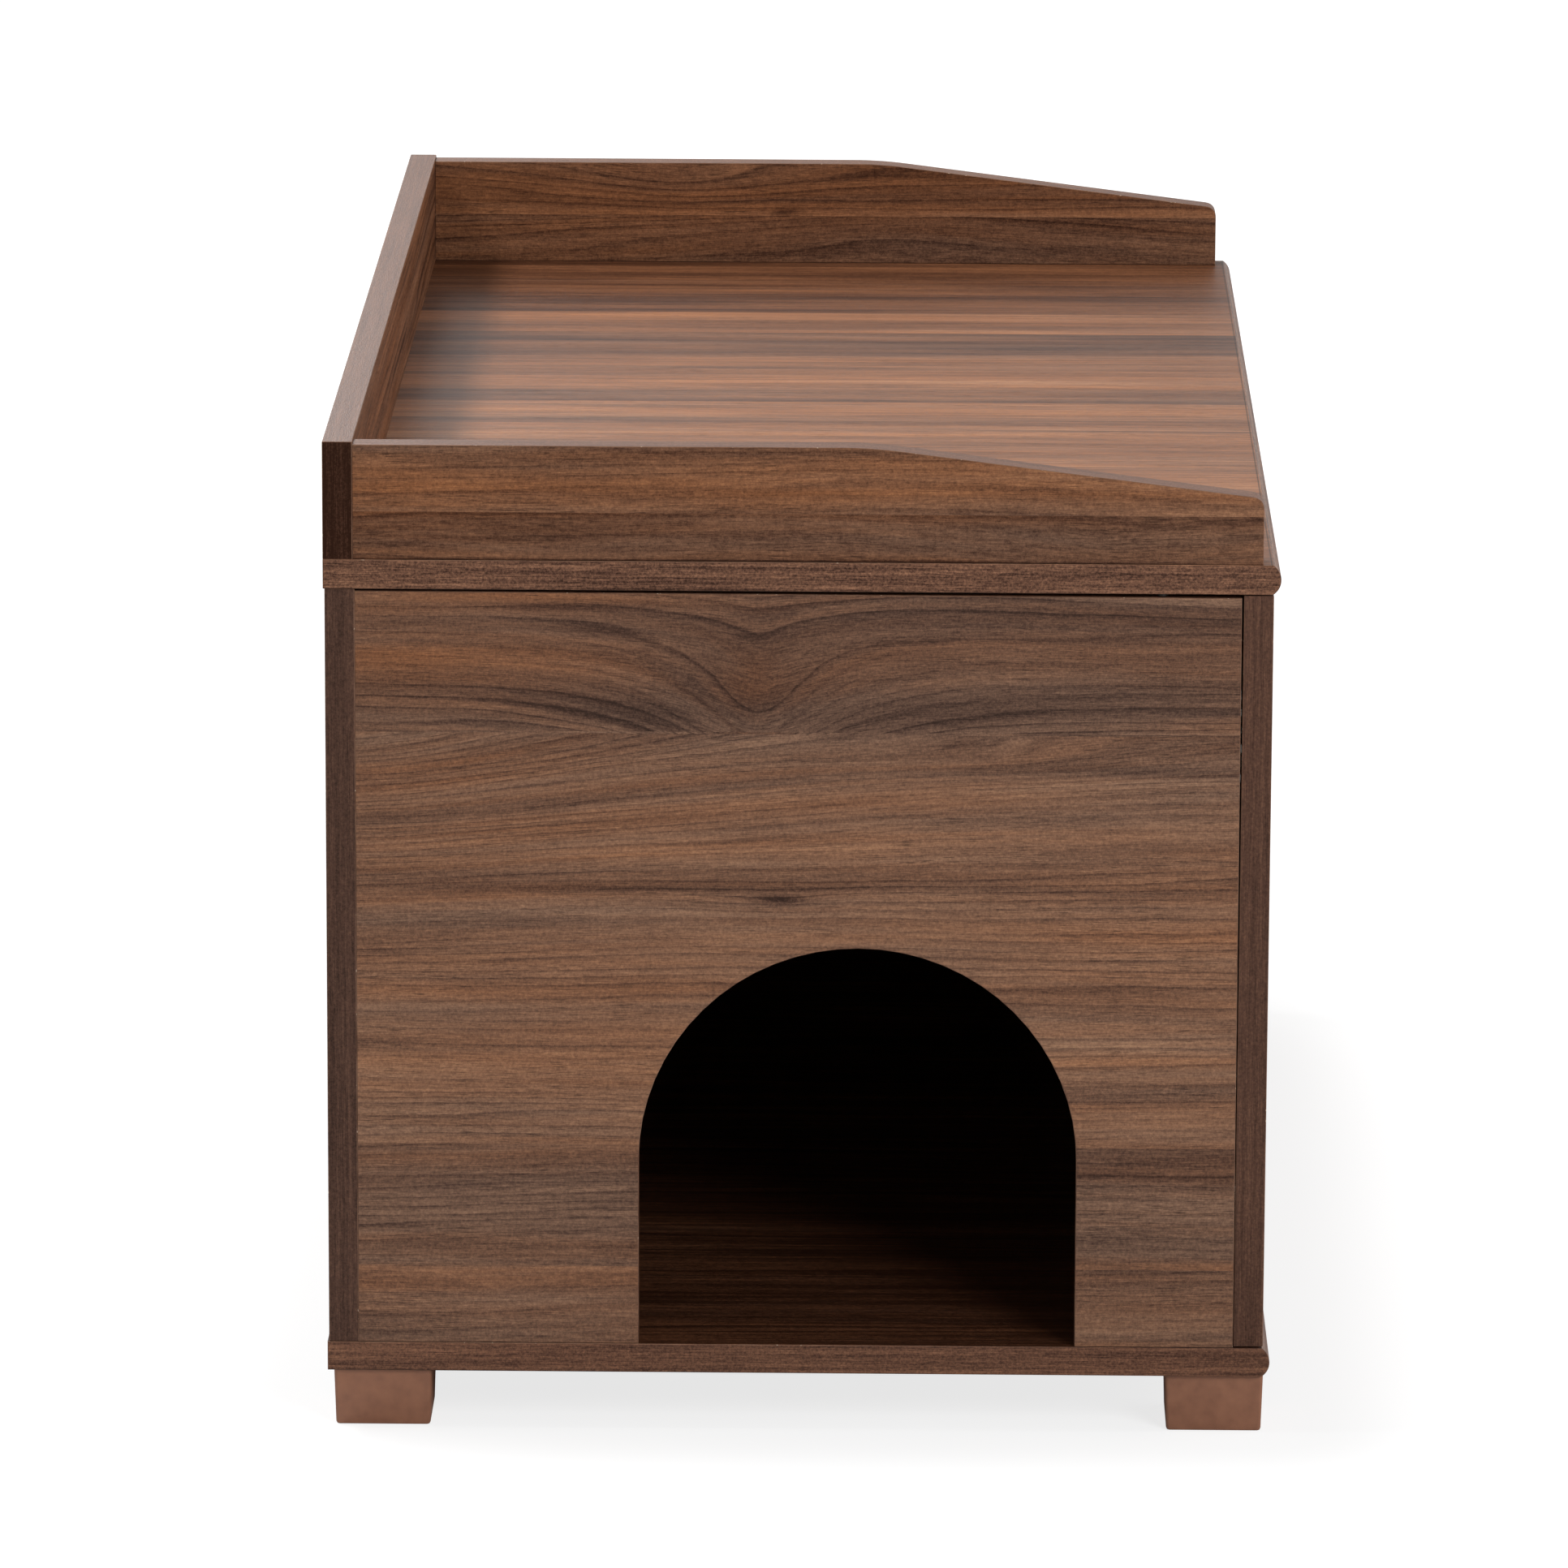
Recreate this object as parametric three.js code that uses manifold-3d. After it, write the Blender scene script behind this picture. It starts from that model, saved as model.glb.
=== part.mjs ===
// Cat litter box cabinet: two hinged doors at the front, an arched way in at the left side and a
// gallery of three rails round the top. Millimetres, +Z up, doors towards -Y.
// Origin: on the floor, under the middle of the cabinet.

import * as THREE from 'three';
import { mergeVertices } from 'three/addons/utils/BufferGeometryUtils.js';
import Module from 'manifold-3d';

const wasm = await Module();
wasm.setup();

// ---------- driving dimensions ----------

// carcass boards
const width = 880; // over the top board's ends
const depth = 480; // from the top board's back edge to its nose
const boardThickness = 15;
const panelHeight = 392; // side and back panels, between the two boards
const noseBulge = 4; // how far the rounded front edge stands out
const arris = 0.3; // small chamfer that takes the sharpness off each edge
const panelSetIn = 0.5; // side panels and rails behind the boards' ends
const backSetIn = 0.8; // back panel inside the boards' back edges

// arched way in
const archWidth = 222;
const archHeight = 208; // above the bottom board
const archForward = 29.5; // arch centre, forward of the cabinet's middle

// gallery
const backRailHeight = 60;
const sideRailHeight = 58.5;
const sideRailFrontHeight = 34;
const railSlopeLength = 196; // from the rail's front end back to where the slope starts
const railSlopeBlend = 15; // half the length of the soft bend at the slope's start
const railCornerRadius = 6;
const railBehindNose = 9;

// doors
const doorThickness = 15;
const doorBehindNose = 3.5;
const doorGap = 0.6; // between a door and the side panel's front edge
const doorSideReveal = 0.6; // door edge inside the side panel's outer face
const doorEndClearance = 0.8; // above and below a door
const doorMeetingGap = 3;
const fingerNotchRadius = 20;

// feet
const footHeight = 30;
const footWidth = 50;
const footTaper = 0.9; // each side, top to bottom
const footSetIn = 3;
const footEdgeRadius = 1.5;

// cup hinge: places in plan are [into the opening from the side panel's inner face,
// back from the door's back face], with the door shut
const hingeFromDoorEnd = 80;
const cupRadius = 17.2;
const cupDepth = 12.1;
const cupWall = 1;
const cupBoreClearance = 0.3;
const cupFromDoorEdge = 20.5; // cup centre to the door's outer edge
const cupFlangeThickness = 1;
const cupFlangeWidth = 2.3; // round the cup
const cupEarSpan = 60;
const cupEarWidth = 12;
const cupEarBack = 6; // ears' centre line, further from the door's edge than the cup's centre
const cupPinRadius = 1.3;
const armPinRadius = 1.5;
const pinClearance = 0.25;
const innerSlotPlay = 0.65; // round the arm's pin, which strays from the slot's middle line
const outerArmPivot = [15.5, 11.3];
const outerCupPivot = [-5.6, -2.9];
const outerLinkBend = [-0.9, -4.6];
const innerArmPivot = [5.9, 8.9];
const innerCupPivot = [-6.2, -8.0];
const innerLinkBend = [5.6, -9.6];
const doorTurn = 92; // degrees from shut to fully open
const outerLinkTurn = 32.5; // degrees that the outer link turns meanwhile
const innerLinkTurn = 19;
const outerLinkHalfWidth = 1.6;
const innerLinkHalfWidth = 1;
const linkThickness = 4.6; // the outer link lies above the hinge's middle, the inner link below it
const eyeWall = 1.1; // metal round a link's eye
const layerGap = 0.5; // between a link and the arm's side, and half of it either side of the middle
const armSideThickness = 1.6;
const armTipWall = 1.2; // metal round the arm's pins
const armLength = 62; // back from the door's back face
const armRise = 14; // arm's outside above the side panel, over its plate
const armWingGap = 0.6; // between the arm's sides and the plate's wings
const plateStart = 28; // mounting plate, back from the door's back face
const plateLength = 30;
const plateWingSpan = 46;
const plateWingWidth = 14;
const plateWingThickness = 2.4;

// knock-down fittings
const camRadius = 7.3;
const camDepth = 12;
const camBoreClearance = 0.3;
const camFromPanelEnd = 24; // cam centre to the panel's top or bottom edge
const camFromPanelSide = 40; // cam centre to the panel's front or back edge
const boltRadius = 3;
const boltHeadRadius = 3.6;
const boltHeadRim = 1.4; // height of the head's straight side
const boltHeadSlope = 1.1; // height of each cone on the head
const boltNeckRadius = 2;
const boltTipLength = 1.5;
const camCross = [2.4, 9]; // width and length of the driver's two slots
const camCrossDepth = 1;
const boltThreadDepth = 10; // into the board
const dowelRadius = 4;
const dowelInBoard = 10; // down into the top board
const dowelInRail = 20;
const dowelFromRailEnd = 80;
const dowelRadialClearance = 0.15;
const dowelEndClearance = 0.8;

const roundSegments = 24; // round the hinge cups
const camSegments = 16;
const smallSegments = 12; // pins, eyes, bolts and dowels

// ---------- places worked out from them ----------

const bottomBoardTop = footHeight + boardThickness;
const topBoardBottom = bottomBoardTop + panelHeight;
const deckHeight = topBoardBottom + boardThickness;
const backEdge = depth / 2;
const noseEdge = -depth / 2;
const backPanelFront = backEdge - backSetIn - boardThickness;
const doorFront = noseEdge + doorBehindNose;
const doorBack = doorFront + doorThickness;
const sidePanelFront = doorBack + doorGap;
const panelOuter = width / 2 - panelSetIn;
const panelInner = panelOuter - boardThickness;
const doorOuter = panelOuter - doorSideReveal;
const doorBottom = bottomBoardTop + doorEndClearance;
const doorTop = topBoardBottom - doorEndClearance;
const cupCentre = panelInner - doorOuter + cupFromDoorEdge; // into the opening
const hingeHeights = { upper: doorTop - hingeFromDoorEnd, lower: doorBottom + hingeFromDoorEnd };
const linkNear = layerGap / 2; // from the hinge's middle height
const linkFar = linkNear + linkThickness;
const armInner = linkFar + layerGap;
const armOuter = armInner + armSideThickness;
const armFoot = plateWingThickness + armWingGap;
const sides = { left: -1, right: 1 };

// ---------- finishes ----------

const finish = (color, roughness, metalness = 0) =>
  new THREE.MeshStandardMaterial({ color, roughness, metalness });
const walnutFoil = finish('#6b4e40', 0.45);
const footPaint = finish('#7d5844', 0.6);
const nickel = finish('#b9b9b4', 0.3, 0.9);
const zincCasting = finish('#9c9c98', 0.45, 0.9);
const plainBeech = finish('#c9a877', 0.7);

// ---------- shape helpers ----------

function solidOf(geometry) {
  const bare = geometry.clone();
  bare.deleteAttribute('normal');
  bare.deleteAttribute('uv');
  const merged = mergeVertices(bare, 1e-4);
  return new wasm.Manifold(
    new wasm.Mesh({
      numProp: 3,
      vertProperties: new Float32Array(merged.attributes.position.array),
      triVerts: new Uint32Array(merged.index.array),
    })
  );
}

function geometryOf(solid) {
  const mesh = solid.getMesh();
  const geometry = new THREE.BufferGeometry();
  geometry.setAttribute('position', new THREE.BufferAttribute(mesh.vertProperties, 3));
  geometry.setIndex(new THREE.BufferAttribute(mesh.triVerts, 1));
  return geometry;
}

// a body joined from solids, with others cut away
function carve(added, removed = []) {
  const whole = added.reduce((sum, next) => sum.add(next));
  return removed.reduce((sum, next) => sum.subtract(next), whole);
}

// the mirror image across the plane x = 0
function mirrored(geometry) {
  const copy = geometry.clone();
  copy.applyMatrix4(new THREE.Matrix4().makeScale(-1, 1, 1));
  const index = copy.index.array;
  for (let i = 0; i < index.length; i += 3) {
    [index[i + 1], index[i + 2]] = [index[i + 2], index[i + 1]];
  }
  return copy;
}

function boxBetween(low, high) {
  const size = high.map((value, axis) => value - low[axis]);
  const geometry = new THREE.BoxGeometry(...size);
  return geometry.translate(...low.map((value, axis) => value + size[axis] / 2));
}

// turns an extrusion drawn in x and y so that its drawing lies in the named plane
function layInPlane(geometry, plane) {
  const toPlane = {
    xy: new THREE.Matrix4(),
    yz: new THREE.Matrix4().set(0, 0, 1, 0, 1, 0, 0, 0, 0, 1, 0, 0, 0, 0, 0, 1),
    xz: new THREE.Matrix4().set(1, 0, 0, 0, 0, 0, -1, 0, 0, 1, 0, 0, 0, 0, 0, 1),
  };
  return geometry.applyMatrix4(toPlane[plane]);
}

// an outline made into a board, from start to start + thickness along the plane's normal,
// with chamfered arrises
function boardFrom(outline, thickness, start, plane, curveSegments = 12) {
  const geometry = new THREE.ExtrudeGeometry(outline, {
    depth: thickness - 2 * arris,
    curveSegments,
    bevelEnabled: true,
    bevelThickness: arris,
    bevelSize: arris,
    bevelOffset: -arris,
    bevelSegments: 1,
  });
  geometry.translate(0, 0, start + arris);
  return layInPlane(geometry, plane);
}

function rectangle(x0, x1, y0, y1) {
  const outline = new THREE.Shape();
  outline.moveTo(x0 + arris, y0);
  outline.lineTo(x1 - arris, y0);
  outline.lineTo(x1, y0 + arris);
  outline.lineTo(x1, y1 - arris);
  outline.lineTo(x1 - arris, y1);
  outline.lineTo(x0 + arris, y1);
  outline.lineTo(x0, y1 - arris);
  outline.lineTo(x0, y0 + arris);
  outline.closePath();
  return outline;
}

// a round bar along the named axis
function rod(radius, from, to, axis, at, segments = smallSegments) {
  const geometry = new THREE.CylinderGeometry(radius, radius, to - from, segments);
  geometry.translate(0, (from + to) / 2, 0);
  if (axis === 'z') geometry.rotateX(Math.PI / 2);
  if (axis === 'x') geometry.rotateZ(-Math.PI / 2);
  return geometry.translate(...at);
}

// a flat bar with round ends, drawn in plan from point a to point b
function strap(a, b, halfWidth, low, high) {
  const along = Math.atan2(b[1] - a[1], b[0] - a[0]);
  const outline = new THREE.Shape();
  outline.absarc(a[0], a[1], halfWidth, along + Math.PI / 2, along + Math.PI * 1.5, false);
  outline.absarc(b[0], b[1], halfWidth, along - Math.PI / 2, along + Math.PI / 2, false);
  const geometry = new THREE.ExtrudeGeometry(outline, {
    depth: high - low,
    curveSegments: smallSegments / 4,
    bevelEnabled: false,
  });
  return solidOf(geometry.translate(0, 0, low));
}

function disc(centre, radius, low, high) {
  return solidOf(rod(radius, low, high, 'z', [centre[0], centre[1], 0]));
}

// ---------- boards ----------

// full-width board with a rounded nose along its front edge
function nosedBoard(bottom) {
  const top = bottom + boardThickness;
  const half = boardThickness / 2;
  const radius = (half * half + noseBulge * noseBulge) / (2 * noseBulge);
  const spread = Math.asin(half / radius);
  const outline = new THREE.Shape();
  outline.moveTo(backEdge, bottom);
  outline.lineTo(backEdge, top);
  outline.lineTo(noseEdge + noseBulge, top);
  outline.absarc(noseEdge + radius, bottom + half, radius, Math.PI - spread, Math.PI + spread, false);
  outline.closePath();
  return boardFrom(outline, width, -width / 2, 'yz', 10);
}

function bottomBoard() {
  return geometryOf(carve([solidOf(nosedBoard(footHeight))], boltPilots(bottomBoardTop, -1)));
}

function topBoard() {
  const bores = [...boltPilots(topBoardBottom, 1), ...dowelBores()];
  return geometryOf(carve([solidOf(nosedBoard(topBoardBottom))], bores));
}

function archedOutline() {
  const centre = -archForward;
  const radius = archWidth / 2;
  const springLine = bottomBoardTop + archHeight - radius;
  const outline = new THREE.Shape();
  outline.moveTo(sidePanelFront, bottomBoardTop);
  outline.lineTo(centre - radius, bottomBoardTop);
  outline.lineTo(centre - radius, springLine);
  outline.absarc(centre, springLine, radius, Math.PI, 0, true);
  outline.lineTo(centre + radius, bottomBoardTop);
  outline.lineTo(backPanelFront, bottomBoardTop);
  outline.lineTo(backPanelFront, topBoardBottom);
  outline.lineTo(sidePanelFront, topBoardBottom);
  outline.closePath();
  return outline;
}

function sidePanel(side, outline) {
  const start = side < 0 ? -panelOuter : panelInner;
  const board = boardFrom(outline, boardThickness, start, 'yz', 16);
  return geometryOf(carve([solidOf(board)], fittingBores(side)));
}

function backPanel() {
  const outline = rectangle(-panelOuter, panelOuter, bottomBoardTop, topBoardBottom);
  return boardFrom(outline, boardThickness, -backEdge + backSetIn, 'xz');
}

// ---------- gallery ----------

function backRail() {
  const outline = rectangle(-width / 2, width / 2, deckHeight, deckHeight + backRailHeight);
  const board = boardFrom(outline, boardThickness, -backEdge, 'xz');
  return geometryOf(carve([solidOf(board)], dowelBores()));
}

function sideRail(side) {
  const back = backEdge - boardThickness;
  const front = noseEdge + railBehindNose;
  const top = deckHeight + sideRailHeight;
  const frontTop = deckHeight + sideRailFrontHeight;
  const bend = front + railSlopeLength;
  const fall = (sideRailHeight - sideRailFrontHeight) / railSlopeLength;
  const outline = new THREE.Shape();
  outline.moveTo(back, deckHeight);
  outline.lineTo(back, top);
  outline.lineTo(bend + railSlopeBlend, top);
  outline.quadraticCurveTo(bend, top, bend - railSlopeBlend, top - fall * railSlopeBlend);
  outline.lineTo(front + railCornerRadius, frontTop + fall * railCornerRadius);
  outline.quadraticCurveTo(front, frontTop, front, frontTop - railCornerRadius);
  outline.lineTo(front, deckHeight);
  outline.closePath();
  const start = side < 0 ? -panelOuter : panelInner;
  const board = boardFrom(outline, boardThickness, start, 'yz', 8);
  return geometryOf(carve([solidOf(board)], dowelBores()));
}

// dowels between the top board and the rails: three in the back rail, two in each side rail
function dowelPlaces() {
  const sideX = panelOuter - boardThickness / 2;
  const backY = backEdge - boardThickness / 2;
  const rearY = backEdge - boardThickness - dowelFromRailEnd;
  const frontY = noseEdge + railBehindNose + dowelFromRailEnd;
  const endX = width / 2 - dowelFromRailEnd;
  return {
    back_left: [-endX, backY],
    back_middle: [0, backY],
    back_right: [endX, backY],
    left_rear: [-sideX, rearY],
    left_front: [-sideX, frontY],
    right_rear: [sideX, rearY],
    right_front: [sideX, frontY],
  };
}

function dowelBores() {
  const radius = dowelRadius + dowelRadialClearance;
  const low = deckHeight - dowelInBoard - dowelEndClearance;
  const high = deckHeight + dowelInRail + dowelEndClearance;
  return Object.values(dowelPlaces()).map(([x, y]) => solidOf(rod(radius, low, high, 'z', [x, y, 0])));
}

function dowel([x, y]) {
  return rod(dowelRadius, deckHeight - dowelInBoard, deckHeight + dowelInRail, 'z', [x, y, 0]);
}

// ---------- feet ----------

function foot(sideX, sideY) {
  const half = footWidth / 2;
  const corner = footEdgeRadius * 1.3;
  const outline = new THREE.Shape();
  outline.absarc(half - corner, half - corner, corner, 0, Math.PI / 2, false);
  outline.absarc(-half + corner, half - corner, corner, Math.PI / 2, Math.PI, false);
  outline.absarc(-half + corner, -half + corner, corner, Math.PI, Math.PI * 1.5, false);
  outline.absarc(half - corner, -half + corner, corner, Math.PI * 1.5, Math.PI * 2, false);
  const block = new THREE.ExtrudeGeometry(outline, {
    depth: footHeight - footEdgeRadius,
    curveSegments: 2,
    bevelEnabled: true,
    bevelThickness: footEdgeRadius,
    bevelSize: footEdgeRadius,
    bevelOffset: -footEdgeRadius,
    bevelSegments: 2,
  });
  block.translate(0, 0, footEdgeRadius);
  const trimmed = solidOf(block).subtract(
    solidOf(boxBetween([-half - 1, -half - 1, footHeight], [half + 1, half + 1, footHeight + 5]))
  );
  const geometry = geometryOf(trimmed);
  const points = geometry.attributes.position;
  for (let i = 0; i < points.count; i += 1) {
    const drawnIn = 1 - ((footTaper / half) * (footHeight - points.getZ(i))) / footHeight;
    points.setX(i, points.getX(i) * drawnIn);
    points.setY(i, points.getY(i) * drawnIn);
  }
  const x = sideX * (width / 2 - footSetIn - half);
  const y = sideY * (depth / 2 - footSetIn - half);
  return geometry.translate(x, y, 0);
}

// ---------- doors ----------

function doorOutline() {
  const outline = new THREE.Shape();
  const meeting = -doorMeetingGap / 2;
  const middle = (doorBottom + doorTop) / 2;
  const reach = Math.sqrt(fingerNotchRadius ** 2 - meeting ** 2);
  const start = Math.atan2(-reach, meeting);
  outline.moveTo(-doorOuter, doorBottom);
  outline.lineTo(meeting, doorBottom);
  outline.lineTo(meeting, middle - reach);
  outline.absarc(0, middle, fingerNotchRadius, start, -start, true);
  outline.lineTo(meeting, doorTop);
  outline.lineTo(-doorOuter, doorTop);
  outline.closePath();
  return outline;
}

// the left door; the right one is its mirror image
function door() {
  const board = solidOf(boardFrom(doorOutline(), doorThickness, -doorBack, 'xz', 12));
  const boreRadius = cupRadius + cupBoreClearance;
  const boreBottom = doorBack - cupDepth - cupBoreClearance;
  const x = -panelInner + cupCentre;
  const bores = Object.values(hingeHeights).map((z) =>
    solidOf(rod(boreRadius, boreBottom, doorBack + 1, 'y', [x, 0, z], roundSegments))
  );
  return geometryOf(carve([board], bores));
}

// ---------- cup hinge, drawn in plan about its own middle height ----------

function hingeCup() {
  const centre = [cupCentre, 0, 0];
  const inner = cupRadius - cupWall;
  const flangeRadius = cupRadius + cupFlangeWidth;
  const body = solidOf(rod(cupRadius, -cupDepth, 0, 'y', centre, roundSegments));
  const rim = solidOf(rod(flangeRadius, 0, cupFlangeThickness, 'y', centre, roundSegments));
  const ears = solidOf(earPlate());
  const edgeCut = solidOf(
    boxBetween([-cupEarSpan, 0, -cupEarSpan], [doorGap, cupFlangeThickness + 1, cupEarSpan])
  );
  const shell = carve(
    [body, carve([rim, ears], [edgeCut])],
    [solidOf(rod(inner, -cupDepth + cupWall, cupFlangeThickness + 1, 'y', centre, roundSegments))]
  );
  // the outer link's pin stops at the middle, where the inner link passes under it
  const pins = carve([
    disc(outerCupPivot, cupPinRadius, 0, cupRadius),
    disc(innerCupPivot, cupPinRadius, -cupRadius, cupRadius),
  ]);
  return geometryOf(carve([shell, pins.intersect(body)]));
}

// the two screw ears and the strip between them, flat on the door's back
function earPlate() {
  const half = cupEarWidth / 2;
  const reach = cupEarSpan / 2 - half;
  const x = cupCentre + cupEarBack;
  const outline = new THREE.Shape();
  outline.absarc(x, reach, half, 0, Math.PI, false);
  outline.absarc(x, -reach, half, Math.PI, Math.PI * 2, false);
  const plate = new THREE.ExtrudeGeometry(outline, {
    depth: cupFlangeThickness,
    curveSegments: 4,
    bevelEnabled: false,
  });
  plate.translate(0, 0, -cupFlangeThickness);
  return layInPlane(plate, 'xz');
}

// a flat link through the given places, with an eye at each end
function bentStrap(places, halfWidth, low, high) {
  return places.slice(1).map((place, i) => strap(places[i], place, halfWidth, low, high));
}

// carries the door's weight from the arm's rear pin to the cup's outer pin
function outerLink() {
  const pins = [
    [outerArmPivot, armPinRadius + pinClearance],
    [outerCupPivot, cupPinRadius + pinClearance],
  ];
  const bar = bentStrap(
    [outerArmPivot, outerLinkBend, outerCupPivot],
    outerLinkHalfWidth,
    linkNear,
    linkFar
  );
  const eyes = pins.map(([pivot, radius]) => disc(pivot, radius + eyeWall, linkNear, linkFar));
  const bores = pins.map(([pivot, radius]) => disc(pivot, radius, linkNear - 1, linkFar + 1));
  return geometryOf(carve([...bar, ...eyes], bores));
}

function turned(point, about, degrees) {
  const angle = THREE.MathUtils.degToRad(degrees);
  const x = point[0] - about[0];
  const y = point[1] - about[1];
  return [
    about[0] + x * Math.cos(angle) - y * Math.sin(angle),
    about[1] + x * Math.sin(angle) + y * Math.cos(angle),
  ];
}

// the arm's pin as the inner link sees it, at a share of the door's opening from 0 to 1
function innerPinTravel(share) {
  const link = turned(outerCupPivot, outerArmPivot, outerLinkTurn * share);
  const shift = [link[0] - outerCupPivot[0], link[1] - outerCupPivot[1]];
  const swung = turned(innerCupPivot, outerCupPivot, -doorTurn * share);
  const cupPin = [swung[0] + shift[0], swung[1] + shift[1]];
  const moved = [
    innerArmPivot[0] - cupPin[0] + innerCupPivot[0],
    innerArmPivot[1] - cupPin[1] + innerCupPivot[1],
  ];
  return turned(moved, innerCupPivot, -innerLinkTurn * share);
}

// turns on the cup's deeper pin and is slotted where it rides on the arm's front pin
function innerLink() {
  const low = -linkFar;
  const high = -linkNear;
  const slotRadius = armPinRadius + innerSlotPlay;
  const eyeRadius = cupPinRadius + pinClearance;
  const furthest = innerPinTravel(0.5);
  const slot = strap(innerArmPivot, furthest, slotRadius, low - 1, high + 1);
  const head = strap(innerArmPivot, furthest, slotRadius + eyeWall, low, high);
  const bar = bentStrap([innerArmPivot, innerLinkBend, innerCupPivot], innerLinkHalfWidth, low, high);
  const eye = disc(innerCupPivot, eyeRadius + eyeWall, low, high);
  const bore = disc(innerCupPivot, eyeRadius, low - 1, high + 1);
  return geometryOf(carve([head, ...bar, eye], [slot, bore]));
}

// channel-shaped arm with its two pins
function hingeArm() {
  const tip = armPinRadius + armTipWall;
  const side = (low, high) => {
    const outline = new THREE.Shape();
    outline.moveTo(outerArmPivot[0], outerArmPivot[1] - tip * 0.9);
    outline.lineTo(outerArmPivot[0] + tip * 0.9, outerArmPivot[1]);
    outline.lineTo(armRise, plateStart);
    outline.lineTo(armRise, armLength);
    outline.lineTo(armFoot, armLength);
    outline.lineTo(armFoot, plateStart);
    outline.lineTo(innerArmPivot[0] - tip * 0.9, innerArmPivot[1]);
    outline.lineTo(innerArmPivot[0], innerArmPivot[1] - tip * 0.9);
    outline.closePath();
    const plate = new THREE.ExtrudeGeometry(outline, { depth: high - low, bevelEnabled: false });
    return [
      solidOf(plate.translate(0, 0, low)),
      disc(outerArmPivot, tip, low, high),
      disc(innerArmPivot, tip, low, high),
    ];
  };
  const web = solidOf(
    boxBetween([armRise - armSideThickness, plateStart, -armOuter], [armRise, armLength, armOuter])
  );
  const pins = [outerArmPivot, innerArmPivot].map((pivot) =>
    disc(pivot, armPinRadius, -armInner - armSideThickness / 2, armInner + armSideThickness / 2)
  );
  return geometryOf(carve([web, ...side(-armOuter, -armInner), ...side(armInner, armOuter), ...pins]));
}

// plate screwed to the side panel, under the arm
function hingePlate() {
  const half = armInner - layerGap;
  const wingHalf = plateWingSpan / 2;
  const block = solidOf(
    boxBetween(
      [0, plateStart, -half],
      [armRise - armSideThickness, plateStart + plateLength, half]
    )
  );
  const middle = plateStart + plateLength / 2;
  const outline = new THREE.Shape();
  const reach = wingHalf - plateWingWidth / 2;
  outline.absarc(middle, reach, plateWingWidth / 2, 0, Math.PI, false);
  outline.absarc(middle, -reach, plateWingWidth / 2, Math.PI, Math.PI * 2, false);
  const wings = new THREE.ExtrudeGeometry(outline, {
    depth: plateWingThickness,
    curveSegments: 4,
    bevelEnabled: false,
  });
  return geometryOf(carve([block, solidOf(layInPlane(wings, 'yz'))]));
}

// ---------- knock-down fittings ----------

// [y, z of the cam, direction of the board that the bolt is screwed into]
function camPlaces() {
  return {
    upper_front: [sidePanelFront + camFromPanelSide, topBoardBottom - camFromPanelEnd, 1],
    upper_rear: [backPanelFront - camFromPanelSide, topBoardBottom - camFromPanelEnd, 1],
    lower_front: [sidePanelFront + camFromPanelSide, bottomBoardTop + camFromPanelEnd, -1],
    lower_rear: [backPanelFront - camFromPanelSide, bottomBoardTop + camFromPanelEnd, -1],
  };
}

const boltX = panelOuter - boardThickness / 2;

// a cam's pocket in the panel's inner face and the bolt's way to it from the panel's end
function fittingBores(side) {
  return Object.values(camPlaces()).flatMap(([y, z, way]) => {
    const inner = side * (panelInner - 1);
    const bottom = side * (panelInner + camDepth + camBoreClearance);
    const [from, to] = [Math.min(inner, bottom), Math.max(inner, bottom)];
    const pocket = rod(camRadius + camBoreClearance, from, to, 'x', [0, y, z], camSegments);
    const far = z + way * (camFromPanelEnd + 1);
    const radius = boltHeadRadius + camBoreClearance;
    const boltBore = rod(radius, Math.min(z, far), Math.max(z, far), 'z', [side * boltX, y, 0]);
    return [solidOf(pocket), solidOf(boltBore)];
  });
}

function boltPilots(face, way) {
  const reach = face + way * (boltThreadDepth + camBoreClearance);
  const start = face - way;
  return Object.values(sides).flatMap((side) =>
    Object.values(camPlaces())
      .filter((place) => place[2] === way)
      .map(([y]) =>
        solidOf(
          rod(
            boltRadius + camBoreClearance,
            Math.min(start, reach),
            Math.max(start, reach),
            'z',
            [side * boltX, y, 0]
          )
        )
      )
  );
}

// a quarter-turn cam, slotted for the bolt's head
function cam(side, [y, z, way]) {
  const inner = side * panelInner;
  const bottom = side * (panelInner + camDepth);
  const [from, to] = [Math.min(inner, bottom), Math.max(inner, bottom)];
  const body = solidOf(rod(camRadius, from, to, 'x', [0, y, z], camSegments));
  const slotHalf = boltHeadRadius + camBoreClearance;
  const x = side * boltX;
  const far = z + way * camRadius * 2;
  const slot = solidOf(
    boxBetween(
      [x - slotHalf, y - slotHalf, Math.min(z - way * slotHalf, far)],
      [x + slotHalf, y + slotHalf, Math.max(z - way * slotHalf, far)]
    )
  );
  const cross = [camCross, [...camCross].reverse()].map(([across, up]) =>
    solidOf(
      boxBetween(
        [inner - camCrossDepth, y - across / 2, z - up / 2],
        [inner + camCrossDepth, y + across / 2, z + up / 2]
      )
    )
  );
  return geometryOf(carve([body], [slot, ...cross]));
}

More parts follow.
